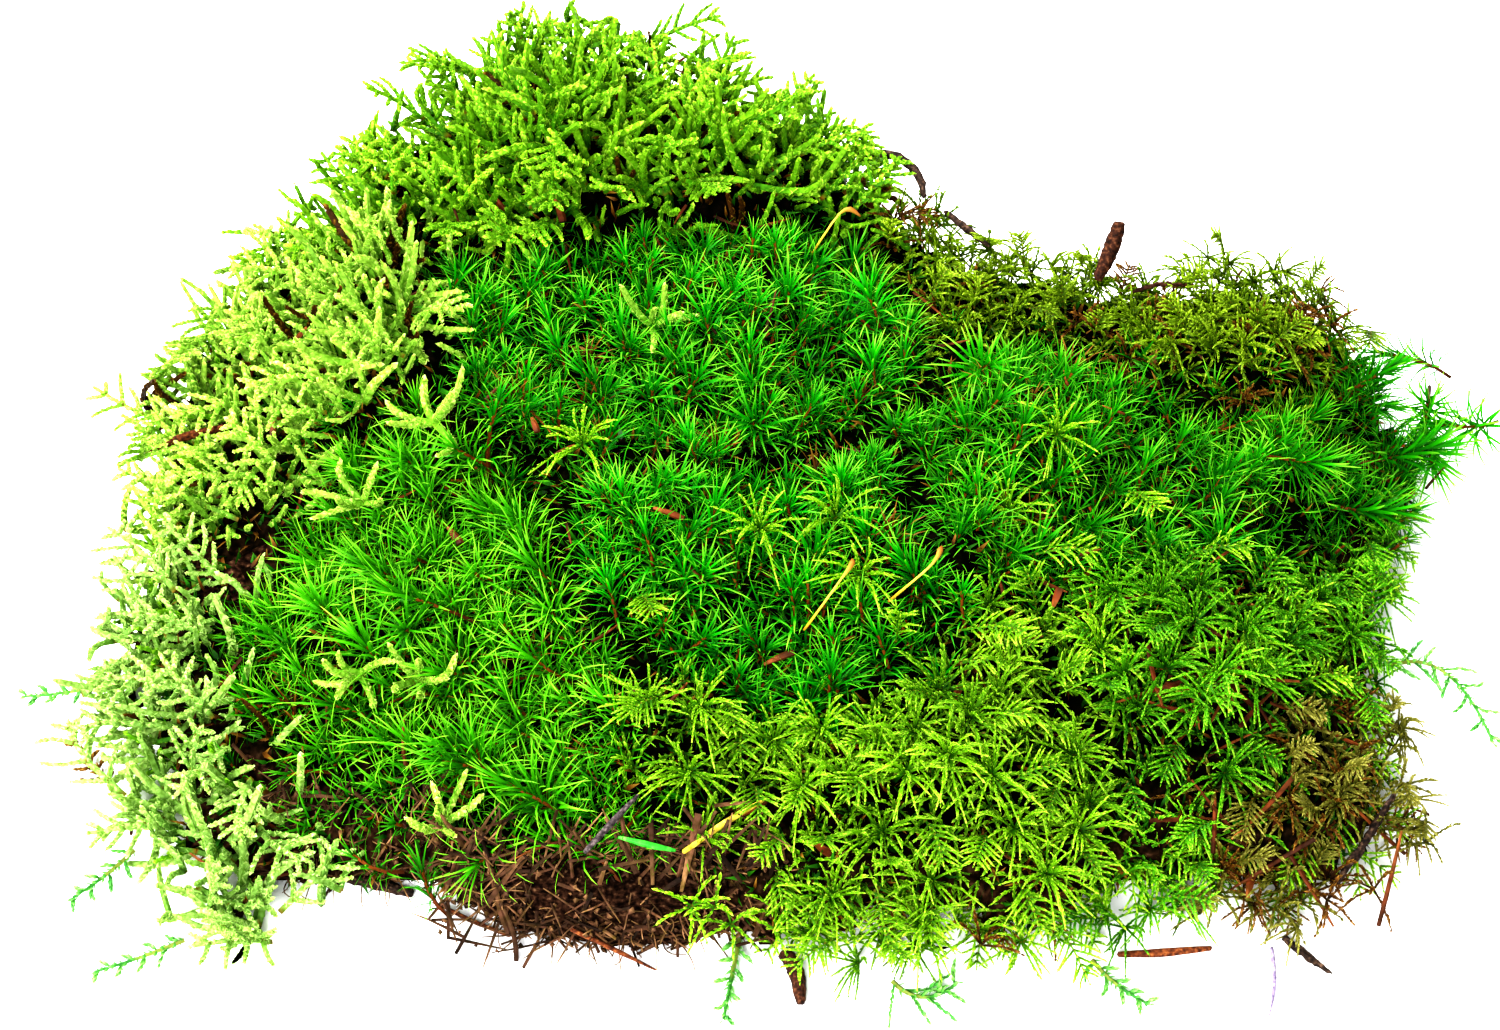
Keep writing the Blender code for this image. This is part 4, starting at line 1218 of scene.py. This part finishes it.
rng = np.random.default_rng(45)
foot, growth = hem_places(rng, [*FEATHER_LOOKS, *CREEPING_LOOKS], 6.8, 11.0, 0.1)
length = rng.uniform(8, 14, len(foot))
hem = plumose(rng, foot, growth, length, tints(rng, len(foot), 0.2, 0.9, 0.12), 5)
add_piece("hem_feathers", hem, paints["feather_moss_front"])
rng = np.random.default_rng(46)
foot, growth = hem_places(rng, PLUME_LOOKS, 7.5, 14.0, 0.2)
tint = tints(rng, len(foot), 0.15, 0.6, 0.05)
hem = plume_clusters(rng, foot, growth, tint, 2, (6.0, 10.0), (1.7, 2.3), (10, 75), 25)
add_piece("hem_plumes", hem, paints["plume_moss_back"])

# %% [markdown]
# ## The duff
# The slab under the moss is pressed needles, crumbs and humus, torn at the edge. Its solid is split
# finer and made lumpy. Loose needles, crumbs and rootlets are strewn on it, mostly at the front,
# where the bank shows, and on the dark side of the bed left of the bank.

# %% Duff slab
duff_paint = litter_material(
    "duff_of_needles_and_humus",
    [(0.3, "#050302"), (0.45, "#140b07"), (0.6, "#2c1c13"), (0.78, "#58412f")], 1.1, 0.95, 0.0,
)
slab_points, slab_faces = split_in_four(*split_in_four(*merged_mesh("duff_mat")))
bumps = 0.7 * lumps(slab_points, 4.0) + 0.4 * lumps(slab_points, 1.7)
slab_points = slab_points + point_normals(slab_points, slab_faces) * bumps[:, None]
slab_points = raised(slab_points, ON_GROUND)
add_piece("duff_slab", (slab_points, slab_faces, None), duff_paint, ["duff_mat"])

# %% Needles of the duff
ROOT_HEIGHT, CRUMB_HEIGHT = 0.5, 0.6  # the least heights of what would lie in the ground
BED_FRONT = -76.0  # the bed's front side has a smaller y


def lying(rng, centre, normal, length, steep=0.12):
    """Curves of nearly straight pieces that lie on a slope, turned any way."""
    level = turned(*across(normal), rng.uniform(0, FULL_TURN, len(centre)))
    way = unit(level + normal * rng.normal(0, steep, (len(centre), 1)))
    half = way * (length / 2)[:, None]
    middle = centre + rng.normal(0, 0.04, centre.shape) * length[:, None]
    return np.stack([centre - half, middle, centre + half], axis=1)


def crumbs(rng, centre, size, tint):
    """Small lumps with eight faces: octahedra with their corners moved at random."""
    corners = np.array([[1, 0, 0], [0, 1, 0], [-1, 0, 0], [0, -1, 0], [0, 0, 1], [0, 0, -1]], float)
    template = np.array([[0, 1, 4], [1, 2, 4], [2, 3, 4], [3, 0, 4],
                         [1, 0, 5], [2, 1, 5], [3, 2, 5], [0, 3, 5]])
    points = corners * rng.uniform(0.5, 1.3, (len(centre), 6, 1))
    points = points + rng.normal(0, 0.2, points.shape)
    turn = rng.uniform(0, FULL_TURN, len(centre))
    c, s = np.cos(turn)[:, None], np.sin(turn)[:, None]
    x, y, z = np.moveaxis(points, -1, 0)
    points = np.stack([c * x - s * y, s * x + c * y, z], axis=-1)
    points = points * size[:, None, None] + centre[:, None]
    u = np.clip(tint[:, None] + np.array([0.0, 0.01, 0.0, -0.01, 0.005, -0.005]), 0, 1)
    v = np.broadcast_to(np.array([0.5, 0.6, 0.7, 0.6, 0.9, 0.35]), u.shape)
    return repeated(points, template, np.stack([u, v], axis=-1))


def on_bank(axis, share):
    """The bank's y or z at a share of the way from its foot to its top."""
    start, end = FRONT_BANK[axis]
    return start + share * (end - start)


def on_side(middle, normal):
    """Triangles of a side: neither flat nor over the slab's edge."""
    return np.abs(normal[:, 2]) < STEEP


def on_front_side(middle, normal):
    """Triangles of the slab's side at the bank and a little beyond its ends."""
    ends = FRONT_BANK["x"][0] - 6, FRONT_BANK["x"][1] + 6
    return on_side(middle, normal) & (middle[:, 1] < FRONT_BANK["y"][1]) & within(middle[:, 0], ends)


def on_left_side(middle, normal):
    """Triangles of the bed's dark side left of the bank."""
    steep = within(normal[:, 2], (-0.3, STEEP))
    return steep & (middle[:, 1] < BED_FRONT) & within(middle[:, 0], LEFT_OF_BANK)


rng = np.random.default_rng(41)
share = rng.uniform(0, 1, 260)
bank = np.column_stack([rng.uniform(*FRONT_BANK["x"], len(share)), on_bank("y", share),
                        on_bank("z", share)])
bank_slope = np.broadcast_to(unit(np.array([0.0, -0.7, 0.75])), bank.shape)
round_side, round_normal = on_mesh(rng, slab_points, slab_faces, 7.0, on_side)
front_side, front_normal = on_mesh(rng, slab_points, slab_faces, 3.0, on_front_side)
bed_side, bed_normal = on_mesh(rng, bed_points, bed_faces, 2.2, on_left_side)
places = np.vstack([bank, round_side, front_side, bed_side])
slopes = np.vstack([bank_slope, round_normal, front_normal, bed_normal])
curves = lying(rng, places + slopes * 0.4, slopes, rng.uniform(5, 13, len(places)))
needles = stalks(
    raised(curves, ROOT_HEIGHT), (rng.uniform(0.2, 0.45, len(places)), 0.12),
    tints(rng, len(places), 0.1, BRIGHTEST),
    rings=4, sides=4, paint=(0.35, 0.95), belly=0.35, flat=0.55,
)
print("needles on the duff:", len(places))

# %% Broad needles, crumbs and rootlets
broad = bank[:16] + [0.0, -1.0, 0.6]
broad_way = unit(rng.uniform([-0.6, 0.3, 0.3], [1.2, 1.0, 0.8], broad.shape))
half = broad_way * rng.uniform(3.5, 7, (len(broad), 1))
middle = broad + rng.normal(0, 0.6, broad.shape)
broad_needles = stalks(
    raised(np.stack([broad - half, middle, broad + half], axis=1), CRUMB_HEIGHT),
    (rng.uniform(0.4, 0.7, len(broad)), 0.3), tints(rng, len(broad), 0.1, 0.9),
    rings=5, sides=4, paint=(0.35, 0.85), belly=0.2, flat=0.35,
)
spots = np.vstack([bank, round_side, front_side, front_side + front_normal * 0.8, bed_side])
spots = raised(spots + rng.normal(0, 0.8, spots.shape), CRUMB_HEIGHT)
size = rng.uniform(0.3, 0.9, len(spots))
bits = crumbs(rng, spots, size, tints(rng, len(spots), 0.1, 0.9))
root = np.vstack([round_side[::3], front_side[::2], bed_side[::3]])
ways = leaned(np.vstack([round_normal[::3], front_normal[::2], bed_normal[::3]]), rng, 0.5)
length = rng.uniform(3, 8, (len(root), 1))
tip = root + ways * length - length * [0.0, 0.0, 0.5]
bend = root + ways * (0.6 * length) + rng.normal(0, 1.5, root.shape)
rootlets = stalks(
    np.stack([root, raised(bend, ROOT_HEIGHT), raised(tip, ROOT_HEIGHT)], axis=1), (0.2, 0.1),
    tints(rng, len(root), 0.5, BRIGHTEST), rings=6, sides=3, paint=(0.5, 0.95),
)
print("crumbs:", len(spots), "and rootlets:", len(root))

# %% Needles of the bank that show one by one
# Both ends in plan, half width and tint.
BANK_NEEDLES = (
    ((-10.1, -88.5), (-13.6, -101.2), 0.85, 0.95), ((-19.6, -90.6), (-19.2, -100.2), 0.5, 0.5),
    ((-13.7, -99.3), (-18.5, -101.8), 0.6, 0.1), ((-5.7, -96.1), (-1.6, -99.9), 0.7, 0.08),
    ((-7.1, -86.6), (0.5, -85.8), 0.45, 0.98), ((-38, -100), (-22, -104.5), 0.4, 0.7),
    ((-30, -98), (-20, -96.5), 0.5, 0.4), ((-35, -104), (-26.5, -108), 0.45, 0.8),
)
ends = np.array([needle[:2] for needle in BANK_NEEDLES], float)
half_width, tint = np.array([needle[2:] for needle in BANK_NEEDLES]).T
bank_foot, bank_top = FRONT_BANK["y"]
height = on_bank("z", (ends[..., 1] - bank_foot) / (bank_top - bank_foot)) + 3.5
ends = np.concatenate([ends, np.minimum(height, 20.5)[..., None]], axis=-1)
named_needles = stalks(
    np.stack([ends[:, 0], ends.mean(axis=1) + [0, 0, 0.4], ends[:, 1]], axis=1),
    (half_width, 0.35), tint, rings=8, sides=6, paint=(0.4, 0.95), belly=0.15, flat=0.35,
)
# scales here paints shade at the edges of fine cells over the needles and crumbs.
duff_bits = leaf_material(
    "dead_needles_and_crumbs", ("#140c08", "#26180f"), ("#050302", "#100a07", "#1c120c"),
    ("#34221a", "#5c3e2c", "#94714f"), roughness=0.8, through=0.0, scales=1.4,
)
shape = joined([needles, broad_needles, named_needles, bits, rootlets])
add_piece("duff_needles", shape, duff_bits)

# %% [markdown]
# ## Fallen needles in the moss
# Rust-brown needles that fell between the shoots. Most lie deep, so only parts show. Some lie
# across the hole at the front right and in the right front corner, and flat bud scales lie on top.

# %% Fallen needles
BUD_SCALES = ((-47, 5), (-63, -22), (-17, -25), (35, 36), (78, -40), (14, -93), (-107, 15),
              (-58, 69), (87, -62), (64, -39), (42, -63), (-44, 64), (87, -73), (-103, 39),
              (100, -97), (6, -52))
CORNER = ((80, 128), (-98, -48))  # x and y of the right front corner
HOLE_NEEDLES = np.array([98.0, -57.0, 22.0])  # the middle of those across the front right hole


def fallen(curves, radii, tint, belly=0.3, flat=0.6):
    """Flattened needles with five sides along the curves."""
    return stalks(curves, radii, tint, rings=5, sides=5, paint=(0.3, 0.9), belly=belly, flat=flat)


rng = np.random.default_rng(42)
plan = np.column_stack([rng.uniform(low[axis], high[axis], 1500) for axis in (0, 1)])
colony, level = nearest_tops(plan)
plan, level = plan[colony >= 0][:130], level[colony >= 0][:130] - rng.uniform(0.5, 5.0, 130)
spots, length = np.column_stack([plan, level]), rng.uniform(5, 12, len(plan))
curves = lying(rng, spots, slope_out(plan), length, 0.3)
radii = rng.uniform(0.3, 0.5, len(plan)), 0.15
fallen_needles = fallen(curves, radii, tints(rng, len(plan), 0.1, 0.95))
spots = guest_places(BUD_SCALES, 0.5)
curves = lying(rng, spots, slope_out(spots[:, :2]), rng.uniform(4, 7, len(spots)), 0.3)
radii = rng.uniform(0.7, 1.1, len(spots)), 0.4
bud_scales = fallen(curves, radii, tints(rng, len(spots), 0.5, BRIGHTEST), 0.4, 0.5)
spots = HOLE_NEEDLES + rng.normal(0, 1, (8, 3)) * [5.0, 4.0, 1.5]
hole_slope = np.tile([0.0, -0.3, 0.95], (8, 1))
hole_curves = lying(rng, spots, hole_slope, rng.uniform(10, 18, 8), 0.15)
spots = guest_places(np.column_stack([rng.uniform(*ends, 16) for ends in CORNER]), 0.3)
curves = lying(rng, spots, slope_out(spots[:, :2]), rng.uniform(12, 22, 16))
corner_needles = fallen(curves, (0.5, 0.25), tints(rng, 16, 0.1, 0.8))
hole_needles = fallen(hole_curves, (0.6, 0.3), tints(rng, 8, 0.4, BRIGHTEST), 0.2)
# scales here paints shade at the edges of fine cells over the fallen needles.
rust = leaf_material(
    "fallen_needle", ("#2a1408", "#4a2410"), ("#1a0d06", "#34190c", "#4e2a14"),
    ("#3a1c0c", "#6e3616", "#9a5c2e"), roughness=0.6, through=0.0, scales=1.6,
)
shape = joined([fallen_needles, bud_scales, hole_needles, corner_needles])
add_piece("fallen_needles", shape, rust)

# %% [markdown]
# ## Strands that trail on the ground
# Loose sprigs of feather moss. Each solid's ridge gives the strand's line, and its width gives the
# length of the side branches.

# %% Strands
STRANDS = ("strand_front", "strand_front_right", "curled_strand_front", "strand_right",
           "strand_left", "strand_left_middle", "strand_left_front", "strand_corner")
RIDGE_LEVEL = 1.05  # the solids' ridges lie higher than this, their edges lower
STRAND_HEIGHT = 0.15  # of the leaves that lie on the ground
BRANCH_SPACING = 2.2
LEAVES_PER_MM = 2.2
DEAD_STRANDS = ("strand_left_middle",)
strand_leaf = leaf_material(
    "leaf_of_loose_strands", ("#5a5a28", "#7a8a3a"), ("#1e5a24", "#3e8a3c", "#74b468"),
    ("#3e8030", "#74b050", "#b4dc8c"), through=0.2,
)


def longest_way(points):
    """How far each point lies along the way in which the points are spread most."""
    centred = points - points.mean(axis=0)
    return centred @ np.linalg.svd(centred, full_matrices=False)[2][0]


def ridge_curve(points):
    """Control points of the curve through the ridge's ends and middle, foot end first."""
    ridge = points[points[:, 2] > RIDGE_LEVEL]
    order = ridge[np.argsort(longest_way(ridge))]
    if order[0, 2] < order[-1, 2]:
        order = order[::-1]
    a, middle, c = order[0], order[len(order) // 2], order[-1]
    return np.stack([a, 2 * middle - (a + c) / 2, c])[None]


for seed, node in enumerate(STRANDS, start=51):
    rng = np.random.default_rng(seed)
    points, _ = merged_mesh(node)
    curve = ridge_curve(points)
    length = np.linalg.norm(curve[0, 2] - curve[0, 0])
    stations = max(8, int(length / BRANCH_SPACING))
    at, way = along_curve(curve, np.linspace(0.04, 0.96, stations)[None])
    at, way = at[0], way[0]
    side, _ = across(way)
    sign = np.where(np.arange(stations) % 2 == 0, 1.0, -1.0)[:, None]
    out = leaned(unit(way * 0.75 + side * sign), rng, 0.15)
    half_width = np.abs((points - curve[0, 0]) @ side[0]).max() * 0.55
    reach = np.clip(1.3 * half_width, 3.5, 7.0) * rng.uniform(0.7, 1.2, stations)
    reach = reach * np.linspace(1.1, 0.6, stations)
    tint = tints(rng, stations, 0.2, 0.9, 1.0 if node in DEAD_STRANDS else 0.0)
    branches = threads(rng, arched(rng, at, out, reach, -0.05 * reach), tint, 14, 1.8)
    spine = stalks(curve, (0.55, 0.3), tint[:1], rings=12, sides=4, paint=(0.1, 0.3))
    leaves = leafy(
        rng, curve, int(length * LEAVES_PER_MM), (0.0, 1.0), length=[2.0, 2.2, 1.7],
        width=[0.9, 1.0, 0.8], angle=[48, 44, 30], curl=[0.2, 0.2, 0.0], tint=tint[:1],
        **POINTED,
    )
    points, faces, chart = joined([branches, spine, leaves])
    shape = raised(points, STRAND_HEIGHT), faces, chart
    add_piece(f"{node}_leafy", shape, strand_leaf, [node])

# %% [markdown]
# ## Twigs, stalks and single needles
# The solids are right in place and thickness but have few faces. Each is split finer, smoothed,
# and given lumps, large ones on bark. The capsule stalks are made slimmer, as the real ones are.

# %% Twigs, stalks and single needles
def stem_finish(name, *colors, last=0.75, **finish):
    """Litter paint whose three colours stand at 0.35, 0.55 and last of the noise."""
    return litter_material(name, list(zip((0.35, 0.55, last), colors)), **finish)


FINISHES = {
    "dark_twig": stem_finish("weathered_twig_bark", "#0e0907", "#2a1e17", "#5f4a3a"),
    "brown_needle": stem_finish("dead_needle", "#2c140c", "#5c3018", "#8c5830"),
    "bark": stem_finish("conifer_bark", "#140a06", "#351c10", "#62402a"),
    "straw": stem_finish("straw_stalk", "#8a7a22", "#c4b040", "#e6dc84", scale_mm=1.5, roughness=0.5),
    "grey_needle": stem_finish("grey_needle", "#1e191a", "#3c3434", "#6c605e"),
    "green_needle": stem_finish("fresh_needle", "#1c6a1c", "#3a9a2e", "#8ed060", last=0.8,
                                scale_mm=2.0, roughness=0.4),
    "violet_needle_right": stem_finish("violet_needle", "#4c4258", "#7c7088", "#aca2b4"),
}
CAPSULE_STALKS = ("capsule_stalk_back", "capsule_stalk_middle", "capsule_stalk_right")
STEMS = {
    "dark_twig": ("black_twig_left", "black_twig_back", "dark_stick_back", "black_twig_right",
                  "dark_needle_right"),
    "brown_needle": ("flat_needle_right", "thin_needle_front", "thin_needle_left", "brown_twig_left"),
    "bark": ("bark_peg_front", "bark_peg_back", "crossing_needle_back"),
    "straw": ("straw_needle", *CAPSULE_STALKS),
    "grey_needle": ("grey_needle", "violet_needle_right"),
    "green_needle": ("green_needle",),
}


def rounded(node, times, bump):
    """A node's solid split finer and smoothed, with lumps up to bump millimetres high."""
    points, faces = merged_mesh(node)
    for _ in range(times):
        points, faces = split_in_four(points, faces)
        points = 0.6 * points + 0.4 * smoothed(points, faces, 1)
    outwards = point_normals(points, faces)
    return points + outwards * (0.06 + bump * lumps(points, 2.2))[:, None], faces, None


STALK_SLIMMING = 0.22  # the solids' stalks are this much too thick, to be strong enough to pack
UP_THE_STALK = ("#c8aa34", "#d2b848", "#7a4a1c")  # straw, and brown at the capsule
capsule_paint = leaf_material(
    "capsule_and_stalk", ("#9a6a1c", "#c4a02c"), UP_THE_STALK, UP_THE_STALK, through=0.1
)


def along_chart(points):
    """Chart places that run up the piece from its lower end to its higher one."""
    run = longest_way(points)
    run = (run - run.min()) / np.ptp(run)
    if points[run.argmax(), 2] < points[run.argmin(), 2]:
        run = 1.0 - run
    return np.column_stack([np.full(len(run), 0.5), run])


SLEEK, RUGGED = (1, 0.05), (2, 0.3)  # times split in four, and height of the lumps
for slot, nodes in STEMS.items():
    for node in nodes:
        shape = rounded(node, *(RUGGED if slot in ("dark_twig", "bark") else SLEEK))
        paint = FINISHES.get(node, FINISHES[slot])
        if node in CAPSULE_STALKS:
            points, faces, _ = shape
            points = points - point_normals(points, faces) * STALK_SLIMMING
            shape, paint = (points, faces, along_chart(points)), capsule_paint
        add_piece(f"{node}_fine", shape, paint, [node], smooth=True)

# %% [markdown]
# ## Floor and light
# A pale floor and soft window light from behind and above, bright enough to wash the floor out.

# %% Floor
FLOOR_HALF = 3.0  # metres from the middle to each edge
sheet = bpy.data.meshes.new("floor")
corners = [(x * FLOOR_HALF, y * FLOOR_HALF, 0.0) for x, y in ((-1, -1), (1, -1), (1, 1), (-1, 1))]
sheet.from_pydata(corners, [], [(0, 1, 2, 3)])
floor = bpy.data.objects.new("floor", sheet)
bpy.context.scene.collection.objects.link(floor)
matt_white, tree = new_material("matt_white")
surface = add_node(
    tree, "ShaderNodeBsdfPrincipled", links={"Base Color": linear("#f6f6f8"), "Roughness": 0.7}
)
add_node(tree, "ShaderNodeOutputMaterial", links={"Surface": surface.outputs[0]})
floor.data.materials.append(matt_white)
print("floor:", 2 * FLOOR_HALF, "m wide")

# %% Light
world = bpy.data.worlds.new("studio")
world.use_nodes = True
world.node_tree.nodes["Background"].inputs["Color"].default_value = (1.0, 1.0, 1.0, 1.0)
world.node_tree.nodes["Background"].inputs["Strength"].default_value = 0.8
bpy.context.scene.world = world


def add_light(name, place, aim, size, power):
    """A square area light at place (mm) that shines towards aim."""
    light = bpy.data.objects.new(name, bpy.data.lights.new(name, "AREA"))
    light.data.size = size * MM
    light.data.energy = power
    light.location = np.array(place) * MM
    way = Vector(np.array(aim) - np.array(place))
    light.rotation_euler = way.to_track_quat("-Z", "Y").to_euler()
    bpy.context.scene.collection.objects.link(light)
    print(f"{name}: {power} W")


add_light("window", (-500, 700, 1100), (0, 0, 20), 500, 64)
add_light("front_fill", (-300, -900, 700), (0, 0, 20), 600, 30)
bpy.context.scene.view_settings.view_transform = "Standard"
bpy.context.scene.view_settings.look = "High Contrast"
